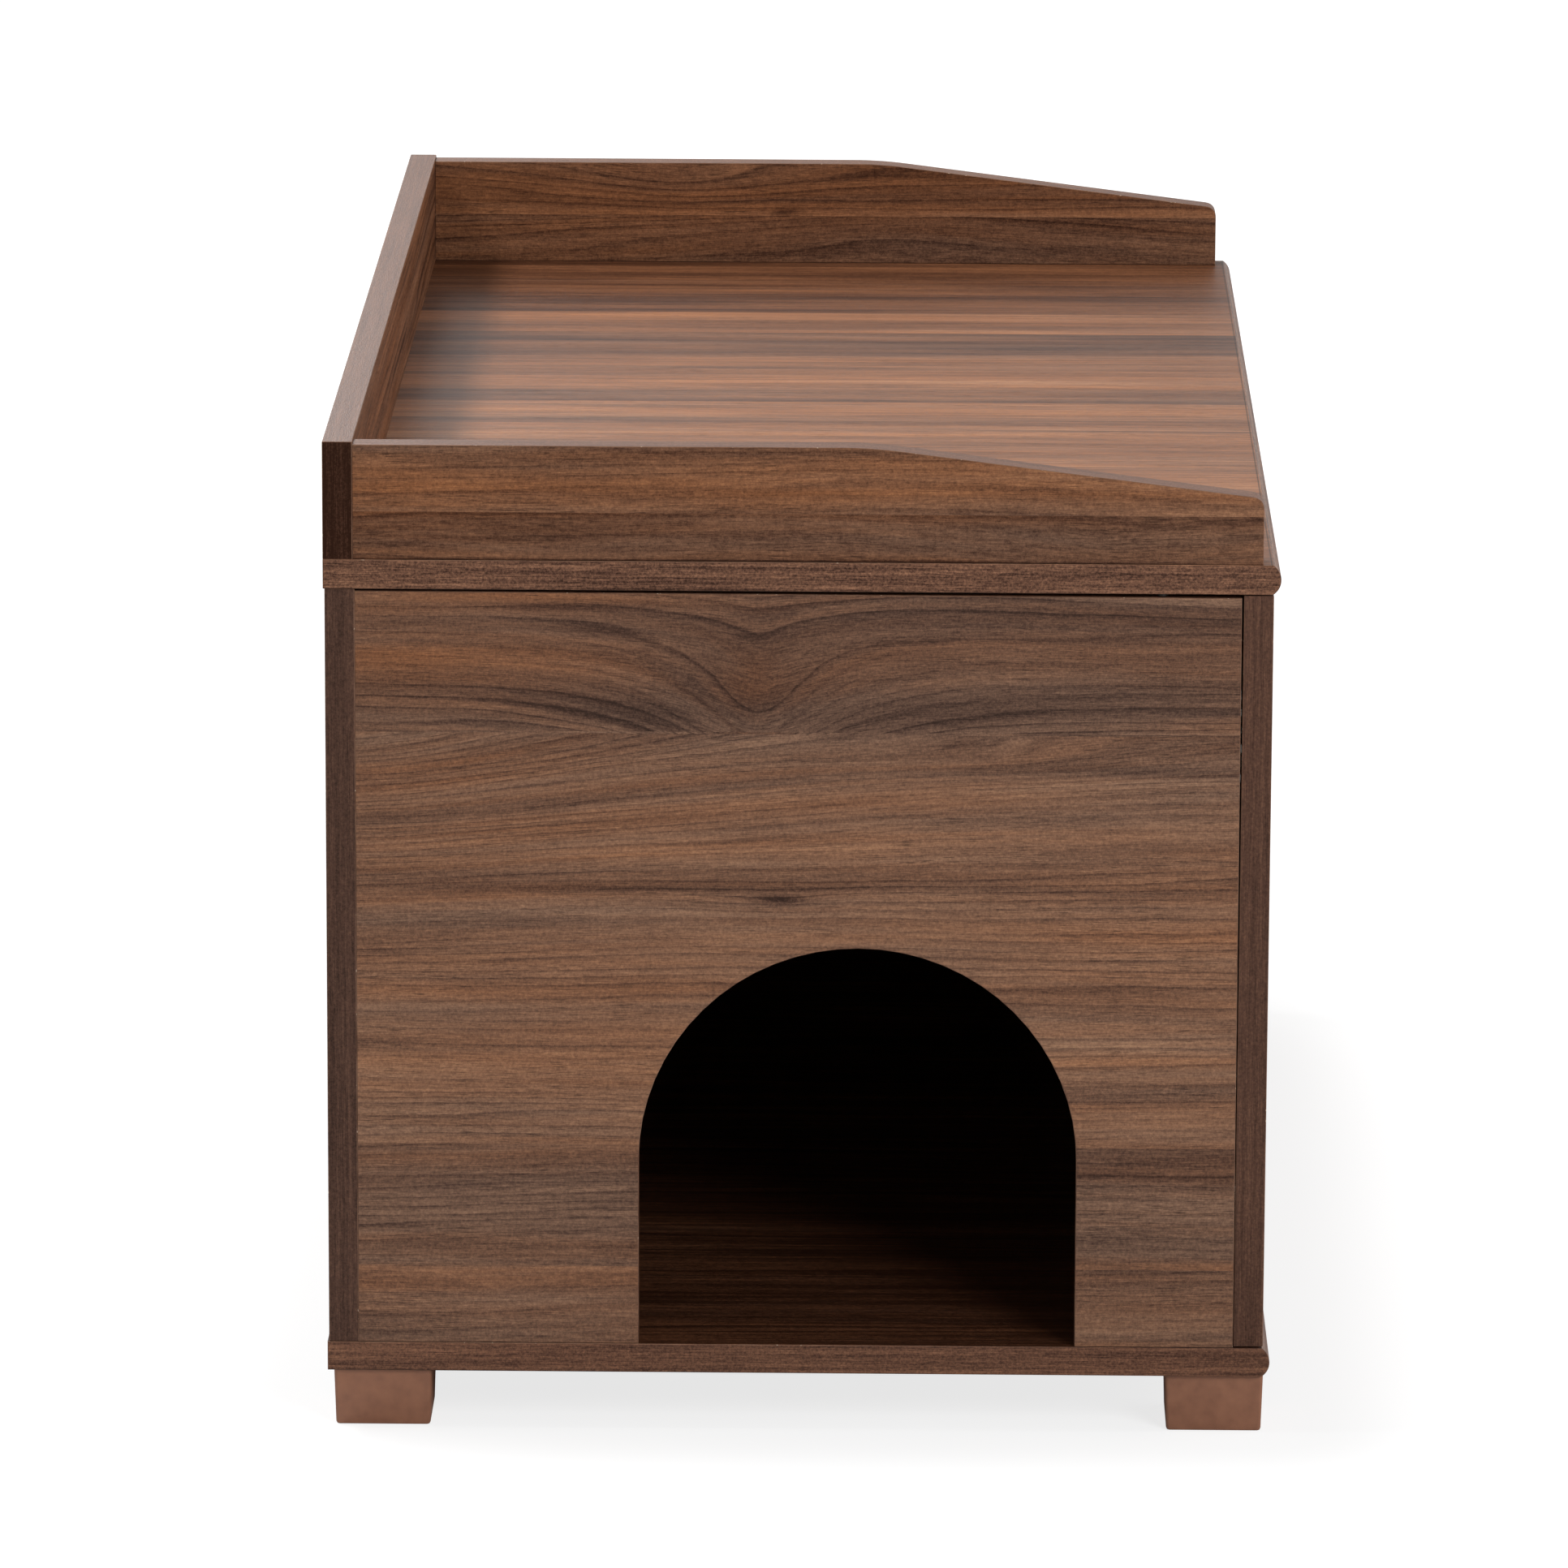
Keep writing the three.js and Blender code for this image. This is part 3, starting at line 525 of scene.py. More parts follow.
def printedFace(tree, where, looks):
    along, across, planks = where["Along"], where["Across"], looks["planks"]
    tone, seed, warmth, lines = plankValues(tree, across, looks)
    field = place(tree, grainWaves, {
        "Along": along, "Across": across, "Seed": seed, "Wave": looks["wave"],
    })["Field"]
    for i, item in enumerate(planks):
        if item["bends"]:
            mask = calc(tree, "GREATER_THAN", across, item["start"])
            if i + 1 < len(planks):
                below = calc(tree, "LESS_THAN", across, planks[i + 1]["start"])
                mask = times(tree, mask, below)
            field = patchSum(tree, field, along, across, item["bends"], mask)
    tone = patchSum(tree, minus(tree, tone, 0.5), along, across, looks["shades"])
    warmth = minus(tree, times(tree, warmth, 2.0), 1.0)
    warmth = patchSum(tree, warmth, along, across, looks["hues"])
    return place(tree, walnutPrint, {
        "Along": along, "Field": field, "Across": across, "Seed": seed, "Tone": tone, "Warmth": warmth,
        "Bands": looks["bands"], "Fine": looks["fine"], "Fibres": looks["fibres"],
        "Lines": times(tree, lines, looks["lines"]), "Line Count": looks["lineCount"],
    })


def boardMaterial(name, grain, thickness, ownLooks):
    looks = {**plainBoard, **ownLooks}
    material, tree, shader = newMaterial(name)
    where = place(tree, boardPlace, {"Grain": grain, "Thickness": thickness})
    onFace = where["Face"]
    face = printedFace(tree, where, looks)
    edge = place(tree, edgeTape, {
        "Along": where["Edge Along"], "Across": where["Edge Across"],
        "Seed": looks["seed"] * looks["edgeSeedSpread"],
        "Tone": fit(tree, where["End"], 0.0, 1.0, looks["edgeTone"], looks["endTone"], False),
        "Warmth": looks["edgeWarmth"], "Streaks": looks["edgeStreaks"],
    })
    color = mixColor(tree, onFace, edge["Color"], face["Color"])
    # painted highlight and painted shade on the arrises, with a few bare chips
    color = place(tree, arrisChipsAndLight, {
        "Color": color, "Arris": where["Arris"], "Under": where["Under"],
    })["Color"]
    if "stripJoint" in looks:
        color = place(tree, stripJoint, {
            "Color": color, "Along": where["Along"], "Face": onFace, "At": looks["stripJoint"],
        })["Color"]
    plug(tree, shader.inputs["Base Color"], color)
    height = mixValue(tree, onFace, edge["Height"], face["Height"])
    addBump(tree, shader, height, looks["bumpStrength"], looks["bumpDistance"])
    rough = fit(tree, onFace, 0.0, 1.0, looks["edgeRoughness"], looks["roughness"], False)
    rough = plus(tree, rough, times(tree, face["Roughness"], onFace))
    plug(tree, shader.inputs["Roughness"], rough)
    shader.inputs["Specular IOR Level"].default_value = looks["gloss"]
    return material


shown = dict(nodes)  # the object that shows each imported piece
smoothUnder = {"board": 28, "hinge": 34, "screw": 40}  # edges that bend less are shaded smooth, in degrees
weldDistance = 1e-6  # metres


def shadeSmooth(shape, degrees):
    for edge in shape.edges:
        edge.smooth = edge.calc_face_angle(0.0) < math.radians(degrees)


# a smooth-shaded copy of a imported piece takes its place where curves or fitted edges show
def refined(name, body, fitShape=None, degrees=smoothUnder["board"]):
    shape = bmesh.new()
    shape.from_mesh(nodes[name].data)
    bmesh.ops.remove_doubles(shape, verts=shape.verts, dist=weldDistance)
    if fitShape:
        fitShape(shape)
    for face in shape.faces:
        face.smooth = True
    shadeSmooth(shape, degrees)
    mesh = bpy.data.meshes.new(name + "_shown")
    shape.to_mesh(mesh)
    shape.free()
    if "custom_normal" in mesh.attributes:
        mesh.attributes.remove(mesh.attributes["custom_normal"])
    piece = bpy.data.objects.new(name + "_shown", mesh)
    scene.collection.objects.link(piece)
    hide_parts(name)
    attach(piece, body)
    shown[name] = piece


# how the arched panel is fitted: its top gap and its front gap widen, in metres
panelFit = {
    "topGapBack": 0.0011,
    "topGapFront": 0.0019,
    "frontAtTop": 0.0004,
    "frontAtBottom": -0.0003,
    "edgeDepth": 0.001,  # how near to an edge a point counts as its own
}


def fitArchedPanel(shape):
    low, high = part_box("left_side_panel")
    for vert in shape.verts:
        backward = (vert.co.y - low[1]) / (high[1] - low[1])
        upward = (vert.co.z - low[2]) / (high[2] - low[2])
        if vert.co.z > high[2] - panelFit["edgeDepth"]:
            front, back = panelFit["topGapFront"], panelFit["topGapBack"]
            vert.co.z -= front + (back - front) * backward
        if vert.co.y < low[1] + panelFit["edgeDepth"]:
            bottom, top = panelFit["frontAtBottom"], panelFit["frontAtTop"]
            vert.co.y += bottom + (top - bottom) * upward


# the body that each part of a hinge rides on, with a gap for the side's name
hingeBodies = {
    "cup": "{}_door",
    "outer_link": "{}_outer_links",
    "inner_link": "{}_inner_links",
    "arm": "cabinet",
    "plate": "cabinet",
}

refined("left_side_panel", "cabinet", fitArchedPanel)
for name in ("top_board", "bottom_board", "gallery_left_rail", "gallery_right_rail"):
    refined(name, "cabinet")
for name in [n for n in nodes if n.startswith("foot_")]:
    refined(name, "cabinet")
for side in ("left", "right"):
    refined(side + "_door", side + "_door")
    for level in ("upper", "lower"):
        for part, body in hingeBodies.items():
            refined(f"{side}_{level}_hinge_{part}", body.format(side), degrees=smoothUnder["hinge"])
print("curved pieces smoothed")


def dress(names, material):
    for name in names:
        mesh = shown[name].data
        mesh.materials.clear()
        mesh.materials.append(material)
        for polygon in mesh.polygons:
            polygon.material_index = 0


# ways that a board's grain runs, and that its thickness points
axisX, axisY, axisZ = (1.0, 0.0, 0.0), (0.0, 1.0, 0.0), (0.0, 0.0, 1.0)
towardsLeft = (-1.0, 0.0, 0.0)  # so that across runs upwards on the side boards

# the arched side panel carries the figure that the photograph shows best: a plank whose lines
# dip to a point, over one whose lines fall away towards the back
sideLooks = {
    "seed": 0.21, "end": 0.45, "wave": 0.016, "edgeTone": -0.25, "endTone": -0.25,
    "edgeWarmth": 0.3, "bands": 0.65, "fibres": 0.6, "lines": 0.85, "lineCount": 185.0,
    "planks": [
        plank(0.03, tone=0.53, warmth=0.33, lines=0.5),
        plank(0.0845, tone=0.41, warmth=0.24, lines=0.7),
        plank(0.1495, tone=0.54, warmth=0.35, lines=0.85, bends=[
            patch(at=(0.24, 0.37), reach=(0.15, 0.065), amount=0.085, blunt=0.5),
            patch(at=(-0.09, 0.352), reach=(0.07, 0.009), amount=0.012, blunt=0.8),
            patch(at=(0.01, 0.278), reach=(0.02, 0.006), amount=0.003),
        ]),
        plank(0.3637, tone=0.43, warmth=0.3, bends=[
            patch(at=(0.022, 0.352), reach=(0.05, 0.062), amount=0.046, blunt=0.25),
            patch(at=(-0.2, 0.4), reach=(0.12, 0.05), amount=0.006),
        ]),
    ],
    "shades": [
        patch(at=(0.01, 0.278), reach=(0.009, 0.0026), amount=-0.55),
        patch(at=(0.052, 0.385), reach=(0.022, 0.02), amount=-0.12),
        patch(at=(0.1, 0.375), reach=(0.04, 0.008), amount=-0.07),
        patch(at=(-0.06, 0.373), reach=(0.07, 0.009), amount=-0.12),
        patch(at=(0.0, 0.385), reach=(0.09, 0.014), amount=-0.05),
        patch(at=(-0.06, 0.321), reach=(0.05, 0.006), amount=-0.09),
        patch(at=(0.0, 0.215), reach=(0.4, 0.045), amount=0.05),
        patch(at=(-0.18, 0.075), reach=(0.06, 0.02), amount=-0.06),
        patch(at=(0.15, 0.4345), reach=(0.06, 0.005), amount=0.2),
        patch(at=(-0.21, 0.435), reach=(0.05, 0.004), amount=0.2),
        patch(at=(0.2, 0.4), reach=(0.05, 0.012), amount=0.1),
        patch(at=(0.15, 0.302), reach=(0.13, 0.006), amount=0.09),
        patch(at=(0.15, 0.284), reach=(0.12, 0.002), amount=-0.2),
        patch(at=(-0.18, 0.345), reach=(0.05, 0.003), amount=-0.2),
        patch(at=(0.0, 0.048), reach=(0.3, 0.004), amount=-0.1),
    ],
    "hues": [
        patch(at=(0.026, 0.386), reach=(0.014, 0.016), amount=1.4),
        patch(at=(0.2, 0.4), reach=(0.05, 0.012), amount=0.9),
        patch(at=(0.052, 0.39), reach=(0.02, 0.016), amount=-0.6),
        patch(at=(-0.065, 0.373), reach=(0.08, 0.01), amount=-0.9),
        patch(at=(0.04, 0.365), reach=(0.14, 0.02), amount=-0.6),
        patch(at=(0.15, 0.4345), reach=(0.06, 0.006), amount=0.8),
        patch(at=(0.0, 0.12), reach=(0.3, 0.02), amount=-0.5),
    ],
}
dress(["left_side_panel"], boardMaterial("walnutArchSide", axisY, towardsLeft, sideLooks))

plainSideLooks = {
    "seed": 0.64, "end": 0.45, "wave": 0.018, "edgeTone": -0.25, "endTone": -0.25,
    "edgeWarmth": 0.3,
    "planks": [
        plank(0.03, tone=0.5, warmth=0.45),
        plank(0.13, tone=0.54, warmth=0.5, bends=[
            patch(at=(0.05, 0.2), reach=(0.07, 0.05), amount=-0.035, blunt=0.3),
        ]),
        plank(0.27, tone=0.46, warmth=0.45, bends=[
            patch(at=(-0.2, 0.36), reach=(0.12, 0.05), amount=0.04, blunt=0.6),
        ]),
        plank(0.4, tone=0.52, warmth=0.5),
    ],
}
dress(["right_side_panel"], boardMaterial("walnutPlainSide", axisY, towardsLeft, plainSideLooks))

# across runs from the left end (-0.44) to the right end (0.44) on the long boards
topLooks = {
    "seed": 0.4, "end": 0.45, "wave": 0.01, "edgeTone": -0.12, "endTone": -0.12,
    "edgeWarmth": 0.2, "roughness": 0.46, "gloss": 0.12, "bands": 1.0, "fine": 0.75,
    "lines": 0.35, "stripJoint": -0.2352, "edgeStreaks": 1.1,
    "planks": [
        plank(-0.45, tone=0.44, warmth=0.75),
        plank(-0.33, tone=0.54, warmth=0.8),
        plank(-0.21, tone=0.56, warmth=0.75),
        plank(-0.09, tone=0.63, warmth=0.8),
        plank(-0.014, tone=0.39, warmth=0.65),
        plank(0.018, tone=0.62, warmth=0.85),
        plank(0.061, tone=0.61, warmth=0.85),
        plank(0.122, tone=0.38, warmth=0.65),
        plank(0.196, tone=0.6, warmth=0.95),
        plank(0.258, tone=0.36, warmth=1.0),
        plank(0.36, tone=0.28, warmth=1.0),
    ],
    "shades": [
        patch(at=(0.06, 0.285), reach=(0.05, 0.008), amount=-0.2),
        patch(at=(-0.05, -0.15), reach=(0.06, 0.03), amount=-0.06),
        # painted shadow of the back rail on the deck
        patch(at=(0.24, 0.155), reach=(0.09, 0.12), amount=-0.2),
        # painted shade: darkens the far part of the deck, against the sheen there
        patch(at=(0.05, 0.275), reach=(0.3, 0.04), amount=-0.07),
    ],
    "hues": [
        # the painted shadow of the back rail is also made warmer
        patch(at=(0.24, 0.155), reach=(0.09, 0.12), amount=0.9),
    ],
}
dress(["top_board"], boardMaterial("walnutTop", axisY, axisZ, topLooks))

# the bottom board's planks are much darker than the other boards': painted shade for the dark inside of the
# cabinet, where its face shows
shadedBottomLooks = {
    "seed": 0.83, "end": 0.45, "wave": 0.01, "edgeTone": -0.14, "endTone": -0.14,
    "edgeWarmth": 0.35, "stripJoint": -0.2352,
    "planks": [
        plank(-0.45, tone=0.12, warmth=1.0),
        plank(-0.25, tone=0.18, warmth=1.0),
        plank(0.0, tone=0.2, warmth=1.0),
        plank(0.2, tone=0.24, warmth=1.0),
    ],
}
dress(["bottom_board"], boardMaterial("walnutBottomShaded", axisY, axisZ, shadedBottomLooks))

sideRailLooks = {
    "seed": 0.17, "end": 0.52, "wave": 0.008, "edgeTone": -0.1, "endTone": -0.1,
    "edgeWarmth": 0.3, "edgeRoughness": 0.4, "edgeStreaks": 0.6, "gloss": 0.07, "bands": 0.6,
    "fibres": 0.7, "lines": 0.6,
    "planks": [
        plank(0.44, tone=0.465, warmth=0.7, bends=[
            patch(at=(-0.16, 0.46), reach=(0.06, 0.014), amount=0.012, blunt=0.5),
            patch(at=(0.12, 0.455), reach=(0.07, 0.012), amount=0.008, blunt=0.5),
        ]),
        plank(0.4765, tone=0.59, warmth=0.48),
    ],
    "shades": [
        patch(at=(0.1, 0.508), reach=(0.2, 0.006), amount=-0.14),
        patch(at=(-0.05, 0.4755), reach=(0.3, 0.0014), amount=-0.1),
        patch(at=(0.2, 0.49), reach=(0.035, 0.01), amount=0.07),
        patch(at=(0.03, 0.488), reach=(0.06, 0.008), amount=0.07),
        # painted shade: a dark line along the rail's foot, where it stands on the top board
        patch(at=(0.02, 0.4523), reach=(0.14, 0.0009), amount=-0.5),
    ],
    "hues": [
        patch(at=(0.2, 0.49), reach=(0.04, 0.012), amount=0.7),
        patch(at=(0.03, 0.488), reach=(0.07, 0.01), amount=0.7),
        patch(at=(-0.14, 0.466), reach=(0.06, 0.01), amount=-0.9),
        patch(at=(0.05, 0.462), reach=(0.1, 0.01), amount=-0.5),
    ],
}
dress(["gallery_left_rail"], boardMaterial("walnutLeftRail", axisY, towardsLeft, sideRailLooks))

farRailLooks = dict(
    sideRailLooks,
    seed=0.47, lines=0.8,
    planks=[
        plank(0.44, tone=0.45, warmth=0.7, bends=[
            patch(at=(-0.04, 0.47), reach=(0.09, 0.016), amount=-0.014, blunt=0.5),
        ]),
        plank(0.4795, tone=0.53, warmth=0.8, bends=[
            patch(at=(0.08, 0.5), reach=(0.07, 0.014), amount=0.016, blunt=0.4),
        ]),
    ],
    shades=[
        patch(at=(0.02, 0.482), reach=(0.004, 0.002), amount=-0.4),
        patch(at=(-0.1, 0.49), reach=(0.06, 0.008), amount=-0.07),
    ],
    hues=[
        patch(at=(0.19, 0.497), reach=(0.03, 0.008), amount=0.6),
        patch(at=(-0.12, 0.465), reach=(0.08, 0.012), amount=-0.5),
    ],
)
dress(["gallery_right_rail"], boardMaterial("walnutRightRail", axisY, towardsLeft, farRailLooks))

backRailLooks = {
    "seed": 0.29, "end": 0.52, "wave": 0.01, "edgeTone": -0.12, "endTone": -0.48,
    "edgeWarmth": 0.3, "edgeRoughness": 0.34, "edgeStreaks": 0.5, "gloss": 0.04,
    "planks": [
        plank(0.44, tone=0.34, warmth=0.7),
        plank(0.478, tone=0.38, warmth=0.7),
    ],
}
dress(["gallery_back_rail"], boardMaterial("walnutBackRail", axisX, axisY, backRailLooks))

backLooks = {
    "seed": 0.52, "end": 0.45, "wave": 0.02, "edgeTone": -0.28, "endTone": -0.33,
    "edgeWarmth": 0.0, "edgeStreaks": 0.5,
    "planks": [
        plank(0.03, tone=0.49, warmth=0.5),
        plank(0.16, tone=0.53, warmth=0.5, bends=[
            patch(at=(-0.2, 0.25), reach=(0.1, 0.06), amount=0.04, blunt=0.4),
        ]),
        plank(0.31, tone=0.47, warmth=0.5, bends=[
            patch(at=(0.1, 0.4), reach=(0.12, 0.05), amount=0.04, blunt=0.3),
        ]),
    ],
}
dress(["back_panel"], boardMaterial("walnutBack", axisX, axisY, backLooks))

doorLooks = {
    "seed": 0.75, "end": 0.45, "wave": 0.02, "edgeTone": -0.22, "endTone": -0.27,
    "edgeWarmth": 0.2, "edgeStreaks": 0.5,
    "planks": [
        plank(0.03, tone=0.51, warmth=0.55),
        plank(0.1, tone=0.46, warmth=0.5, bends=[
            patch(at=(-0.08, 0.14), reach=(0.12, 0.04), amount=0.03, blunt=0.5),
        ]),
        plank(0.19, tone=0.54, warmth=0.6, bends=[
            patch(at=(0.12, 0.27), reach=(0.09, 0.05), amount=0.045, blunt=0.35),
            patch(at=(-0.33, 0.3), reach=(0.1, 0.05), amount=-0.02, blunt=0.8),
        ]),
        plank(0.335, tone=0.47, warmth=0.55, bends=[
            patch(at=(-0.2, 0.37), reach=(0.1, 0.06), amount=0.05, blunt=0.3),
            patch(at=(0.25, 0.4), reach=(0.14, 0.05), amount=0.03, blunt=0.5),
        ]),
    ],
}
dress(["left_door", "right_door"], boardMaterial("walnutDoor", axisX, axisY, doorLooks))
print("boards dressed")


# brown paint with a slight mottle and the fine peel of a sprayed coat
footLooks = {
    "dark": "#7f533c", "pale": "#8d5f46", "mottleScale": 140.0, "peelScale": 1400.0,
    "smoothest": 0.5, "roughest": 0.62, "bumpStrength": 0.15, "bumpDistance": 0.0002,
}


def footMaterial():
    material, tree, shader = newMaterial("footPaint")
    point = addNode(tree, "TexCoord").outputs["Object"]
    mottle = noise(tree, point, footLooks["mottleScale"], 3.0)
    stops = list(zip(noiseSpan, (footLooks["dark"], footLooks["pale"])))
    plug(tree, shader.inputs["Base Color"], ramp(tree, mottle, stops)["Color"])
    rough = fit(tree, mottle, *noiseSpan, footLooks["smoothest"], footLooks["roughest"])
    plug(tree, shader.inputs["Roughness"], rough)
    peel = noise(tree, point, footLooks["peelScale"], 2.0)
    addBump(tree, shader, peel, footLooks["bumpStrength"], footLooks["bumpDistance"])
    return material


metalLooks = {
    "nickelPlate": {"color": "#c9c8c2", "roughness": 0.28},
    "zincCasting": {"color": "#a3a39f", "roughness": 0.42},
    # dark grey on the cam bolts stands in for the shade of the gap they show in: painted shade
    "darkGapBolt": {"color": "#4a4846", "roughness": 0.55},
}


def metalMaterial(name):
    looks = metalLooks[name]
    material, tree, shader = newMaterial(name)
    surface = place(tree, handledMetal, {"Color": srgb(looks["color"]), "Roughness": looks["roughness"]})
    plug(tree, shader.inputs["Base Color"], surface["Color"])
    plug(tree, shader.inputs["Roughness"], surface["Roughness"])
    shader.inputs["Metallic"].default_value = 1.0
    addBump(tree, shader, surface["Height"], handledLooks["bumpStrength"], handledLooks["bumpDistance"])
    return material


# beech dowels: grain is waves to a metre along x, y and z
beechLooks = {"dark": "#b08a58", "pale": "#d0ac7c", "grain": (900.0, 900.0, 60.0), "roughness": 0.65}


def beechMaterial():
    material, tree, shader = newMaterial("plainBeech")
    point = vectorCalc(tree, "MULTIPLY", addNode(tree, "TexCoord").outputs["Object"], beechLooks["grain"])
    stops = list(zip(noiseSpan, (beechLooks["dark"], beechLooks["pale"])))
    plug(tree, shader.inputs["Base Color"], ramp(tree, noise(tree, point, 1.0, 3.0), stops)["Color"])
    shader.inputs["Roughness"].default_value = beechLooks["roughness"]
    return material


nickel, zinc, darkGapMetal = [metalMaterial(name) for name in metalLooks]
dress([n for n in nodes if n.startswith("foot_")], footMaterial())
dress([n for n in nodes if "_hinge_" in n and not n.endswith("_plate")], nickel)
dress([n for n in nodes if n.endswith("_plate") or "_cam_" in n], zinc)
# painted shade: the cam bolts take the dark grey
dress([n for n in nodes if "_cam_bolt_" in n], darkGapMetal)
dress([n for n in nodes if n.startswith("rail_dowel")], beechMaterial())
print("metal, paint and dowels dressed")


# screws on the hinges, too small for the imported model: lengths in metres, turns in radians
screwLooks = {
    "segments": 28,
    "cup": {"radius": 0.0037, "height": 0.0009, "apart": 0.048, "fromDoorEdge": 0.0265,
            "turns": {"upper": 0.85, "lower": -0.15}},
    "plate": {"radius": 0.0035, "height": 0.0008, "apart": 0.032, "wingRise": 0.0024,
              "turns": {"upper": -0.5, "lower": 0.9}},
    "arm": {"radius": 0.0036, "height": 0.0012, "rise": 0.014, "turn": 0.5,
            "places": {"fixing": 0.4, "adjusting": 0.9}},  # shares of the plate's depth, from its back
    "crossShare": 0.62,  # length of the driver's cross, of the head's width
    "crossWidth": 0.0011,
    "crossDepth": 0.0009,
    "crossFloor": 0.86,  # how the cross narrows to its floor
    "shoulder": (0.97, 0.45),  # shares of the head's radius and height
    "crown": 0.82,
}


def ringOf(points, z, shape):
    verts = [shape.verts.new((x, y, z)) for x, y in points]
    count = len(verts)
    return verts, [shape.edges.new((verts[k], verts[(k + 1) % count])) for k in range(count)]


def wallBetween(lower, upper, shape):
    for k in range(len(lower)):
        following = (k + 1) % len(lower)
        shape.faces.new((lower[k], lower[following], upper[following], upper[k]))


def circle(radius):
    count = screwLooks["segments"]
    turns = [2 * math.pi * k / count for k in range(count)]
    return [(radius * math.cos(turn), radius * math.sin(turn)) for turn in turns]


def crossOutline(radius):
    reach, half = radius * screwLooks["crossShare"], screwLooks["crossWidth"] / 2
    cross = []
    for quarter in range(4):
        turn = quarter * math.pi / 2
        for x, y in ((half, half), (half, reach), (-half, reach)):
            cross.append((x * math.cos(turn) - y * math.sin(turn), x * math.sin(turn) + y * math.cos(turn)))
    return cross


# a domed head with a driver's cross sunk in it, facing +Z from the surface that it sits on
def screwHead(radius, height):
    shape = bmesh.new()
    cross = crossOutline(radius)
    narrow, (shoulderOut, shoulderUp) = screwLooks["crossFloor"], screwLooks["shoulder"]
    rim, _ = ringOf(circle(radius), 0.0, shape)
    shoulder, _ = ringOf(circle(radius * shoulderOut), height * shoulderUp, shape)
    crown, crownEdges = ringOf(circle(radius * screwLooks["crown"]), height, shape)
    mouth, mouthEdges = ringOf(cross, height, shape)
    bottom, _ = ringOf([(x * narrow, y * narrow) for x, y in cross], height - screwLooks["crossDepth"], shape)
    wallBetween(rim, shoulder, shape)
    wallBetween(shoulder, crown, shape)
    wallBetween(bottom, mouth, shape)
    shape.faces.new(list(reversed(rim)))
    shape.faces.new(bottom)
    bmesh.ops.triangle_fill(shape, edges=crownEdges + mouthEdges, use_beauty=True)
    bmesh.ops.recalc_face_normals(shape, faces=shape.faces)
    for face in shape.faces:
        face.smooth = len(face.verts) == 4
    shadeSmooth(shape, smoothUnder["screw"])
    return shape


def addScrew(name, body, kind, at, facing, turn):
    looks = screwLooks[kind]
    shape = screwHead(looks["radius"], looks["height"])
    mesh = bpy.data.meshes.new(name)
    shape.to_mesh(mesh)
    shape.free()
    lean = Vector(facing).to_track_quat("Z", "Y").to_matrix().to_4x4()
    mesh.transform(Matrix.Translation(at) @ lean @ Matrix.Rotation(turn, 4, "Z"))
    mesh.materials.append(zinc if kind == "plate" else nickel)
    screw = bpy.data.objects.new(name, mesh)
    scene.collection.objects.link(screw)
    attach(screw, body)


def addHingeScrews(side, level):
    outward = -1 if side == "left" else 1  # which way the door's hinged edge lies
    start = f"{side}_{level}_hinge_"
    cup, plate, arm = screwLooks["cup"], screwLooks["plate"], screwLooks["arm"]
    cupLow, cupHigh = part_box(start + "cup")
    plateLow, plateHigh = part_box(start + "plate")
    doorLow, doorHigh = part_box(side + "_door")
    middle = (cupLow[2] + cupHigh[2]) / 2
    doorEdge = doorLow[0] if outward < 0 else doorHigh[0]
    panelFace = plateLow[0] if outward < 0 else plateHigh[0]
    inwards = (-outward, 0, 0)
    for end, way in (("lower", -1), ("upper", 1)):
        at = (doorEdge - outward * cup["fromDoorEdge"], cupHigh[1], middle + way * cup["apart"] / 2)
        addScrew(f"{start}cup_screw_{end}", side + "_door", "cup", at, (0, 1, 0), cup["turns"][end])
        wingFace = panelFace - outward * plate["wingRise"]
        at = (wingFace, (plateLow[1] + plateHigh[1]) / 2, middle + way * plate["apart"] / 2)
        addScrew(f"{start}plate_screw_{end}", "cabinet", "plate", at, inwards, plate["turns"][end])
    for use, share in arm["places"].items():
        y = plateHigh[1] + (plateLow[1] - plateHigh[1]) * share
        at = (panelFace - outward * arm["rise"], y, middle)
        addScrew(f"{start}arm_{use}_screw", "cabinet", "arm", at, inwards, arm["turn"])


for side in ("left", "right"):
    for level in ("upper", "lower"):
        addHingeScrews(side, level)
print("hinge screws added")


# stage: a white floor that keeps the shadow near the object, a white surround, soft lamps
stageLooks = {
    "floorSize": 14.0,
    "floor": 0.8,  # how pale the floor is to all but the camera
    "surround": 0.22,  # how much light the white surround gives
    "shadowShare": 0.25,  # how strongly the floor shows shadow
    "glowBelow": 0.78,  # the floor's glow below the object, beside it and far away; the higher glow beside and far from it washes out cast shadow there, a painted light
    "glowBeside": 0.9,
    "beside": (0.02, 0.11),
    "farAway": (0.9, 2.2),
}


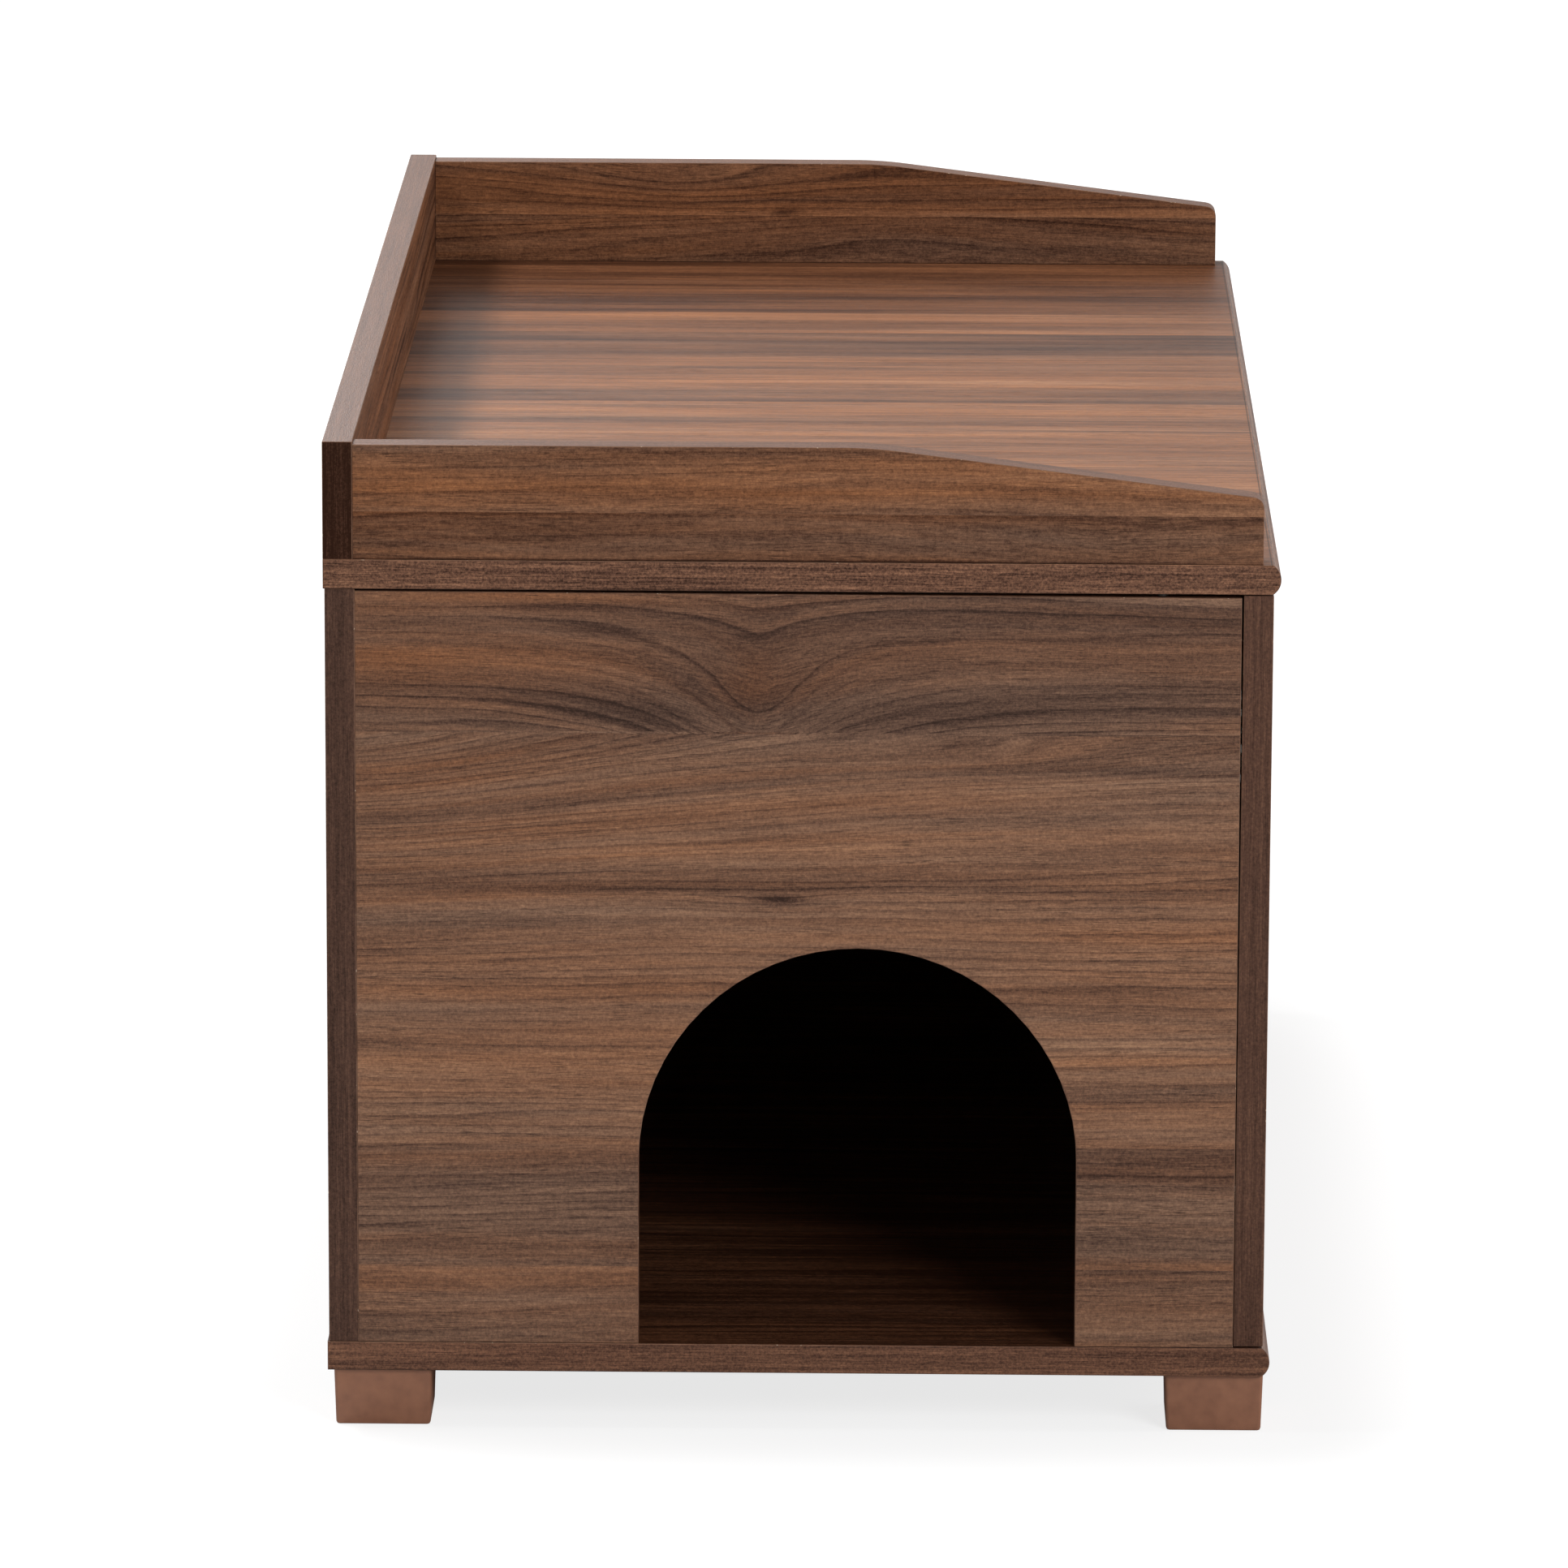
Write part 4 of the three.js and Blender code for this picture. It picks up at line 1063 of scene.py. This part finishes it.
def floorMaterial():
    material, tree = emptyMaterial("paleFloor")
    pale, share = stageLooks["floor"], stageLooks["shadowShare"]
    plain = addNode(tree, "BsdfDiffuse", {"Color": (pale, pale, pale, 1)})
    shaded = addNode(tree, "BsdfDiffuse", {"Color": (share, share, share, 1)})
    point = addNode(tree, "TexCoord").outputs["Object"]
    half = [(high - low) / 2 for low, high in zip(*cadBox)]
    outside = vectorCalc(tree, "SUBTRACT", vectorCalc(tree, "ABSOLUTE", point), half)
    outside = vectorCalc(tree, "LENGTH", vectorCalc(tree, "MAXIMUM", outside, (0.0, 0.0, 0.0)))
    # painted light: the glow rises beside the object's footprint, so cast shadow fades out there
    glow = fit(tree, outside, *stageLooks["beside"], stageLooks["glowBelow"], stageLooks["glowBeside"])
    far = fit(tree, vectorCalc(tree, "LENGTH", point), *stageLooks["farAway"], 0.0, 1.0)
    lit = addNode(tree, "Emission", {"Color": (1, 1, 1, 1), "Strength": calc(tree, "MAXIMUM", glow, far)})
    both = addNode(tree, "AddShader")
    tree.links.new(shaded.outputs[0], both.inputs[0])
    tree.links.new(lit.outputs[0], both.inputs[1])
    seen = addNode(tree, "LightPath").outputs["Is Camera Ray"]
    mix = addNode(tree, "MixShader", {"Fac": seen})
    tree.links.new(plain.outputs[0], mix.inputs[1])
    tree.links.new(both.outputs[0], mix.inputs[2])
    output = addNode(tree, "OutputMaterial")
    tree.links.new(mix.outputs[0], output.inputs["Surface"])
    return material


def makeFloor():
    half = stageLooks["floorSize"] / 2
    corners = [(-half, -half, 0), (half, -half, 0), (half, half, 0), (-half, half, 0)]
    mesh = bpy.data.meshes.new("paleFloor")
    mesh.from_pydata(corners, [], [(0, 1, 2, 3)])
    floor = bpy.data.objects.new("paleFloor", mesh)
    scene.collection.objects.link(floor)
    mesh.materials.append(floorMaterial())


def makeWorld():
    world = bpy.data.worlds.new("studio")
    scene.world = world
    world.use_nodes = True
    tree = world.node_tree
    tree.nodes.clear()
    path = addNode(tree, "LightPath").outputs
    seen = calc(tree, "MAXIMUM", path["Is Glossy Ray"], path["Is Transmission Ray"])
    seen = calc(tree, "MAXIMUM", path["Is Camera Ray"], seen)
    strength = fit(tree, seen, 0.0, 1.0, stageLooks["surround"], 1.0, smooth=False)
    back = addNode(tree, "Background", {"Color": (1, 1, 1, 1), "Strength": strength})
    output = addNode(tree, "OutputWorld")
    tree.links.new(back.outputs[0], output.inputs["Surface"])


lamps = {
    "overhead": {"at": (0.2, 1.5, 2.35), "aim": (0.0, 0.0, 0.45), "size": (1.8, 0.5), "power": 52.0},
    "leftSide": {"at": (-2.75, -1.75, 1.75), "aim": (-0.4, 0.0, 0.25), "size": (1.4, 1.2), "power": 58.0},
    "doorSide": {"at": (0.3, -3.2, 1.1), "aim": (0.0, 0.0, 0.3), "size": (2.6, 1.4), "power": 34.0},
    "rightSide": {"at": (3.1, 1.4, 1.5), "aim": (0.3, 0.0, 0.3), "size": (2.0, 1.6), "power": 36.0},
}


def makeLamp(name, looks):
    data = bpy.data.lights.new(name, "AREA")
    data.shape = "RECTANGLE"
    data.size, data.size_y = looks["size"]
    data.energy = looks["power"]
    lamp = bpy.data.objects.new(name, data)
    scene.collection.objects.link(lamp)
    at, aim = Vector(looks["at"]), Vector(looks["aim"])
    lamp.location = at
    lamp.rotation_euler = (aim - at).to_track_quat("-Z", "Y").to_euler()


cameraPlace = {
    "at": (-5.3228, -0.0559, 1.4638),
    "forward": (0.974366, 0.012841, -0.224603),
    "roll": 0.004,
    "sensor": 36.0,  # millimetres, like the lens
    "lens": 228.8,
    "farthest": 50.0,  # metres
}


def makeCamera():
    data = bpy.data.cameras.new("photoView")
    data.sensor_width = cameraPlace["sensor"]
    data.lens = cameraPlace["lens"]
    data.clip_end = cameraPlace["farthest"]
    camera = bpy.data.objects.new("photoView", data)
    scene.collection.objects.link(camera)
    forward = Vector(cameraPlace["forward"]).normalized()
    level = forward.cross(Vector((0, 0, 1))).normalized()
    rise = level.cross(forward)
    turn = cameraPlace["roll"]
    right = math.cos(turn) * level + math.sin(turn) * rise
    up = -math.sin(turn) * level + math.cos(turn) * rise
    matrix = Matrix((right, up, -forward)).transposed().to_4x4()
    matrix.translation = Vector(cameraPlace["at"])
    camera.matrix_world = matrix
    scene.camera = camera


makeFloor()
makeWorld()
for lampName, lampLooks in lamps.items():
    makeLamp(lampName, lampLooks)
makeCamera()
scene.view_settings.view_transform = "Standard"
print("stage ready")
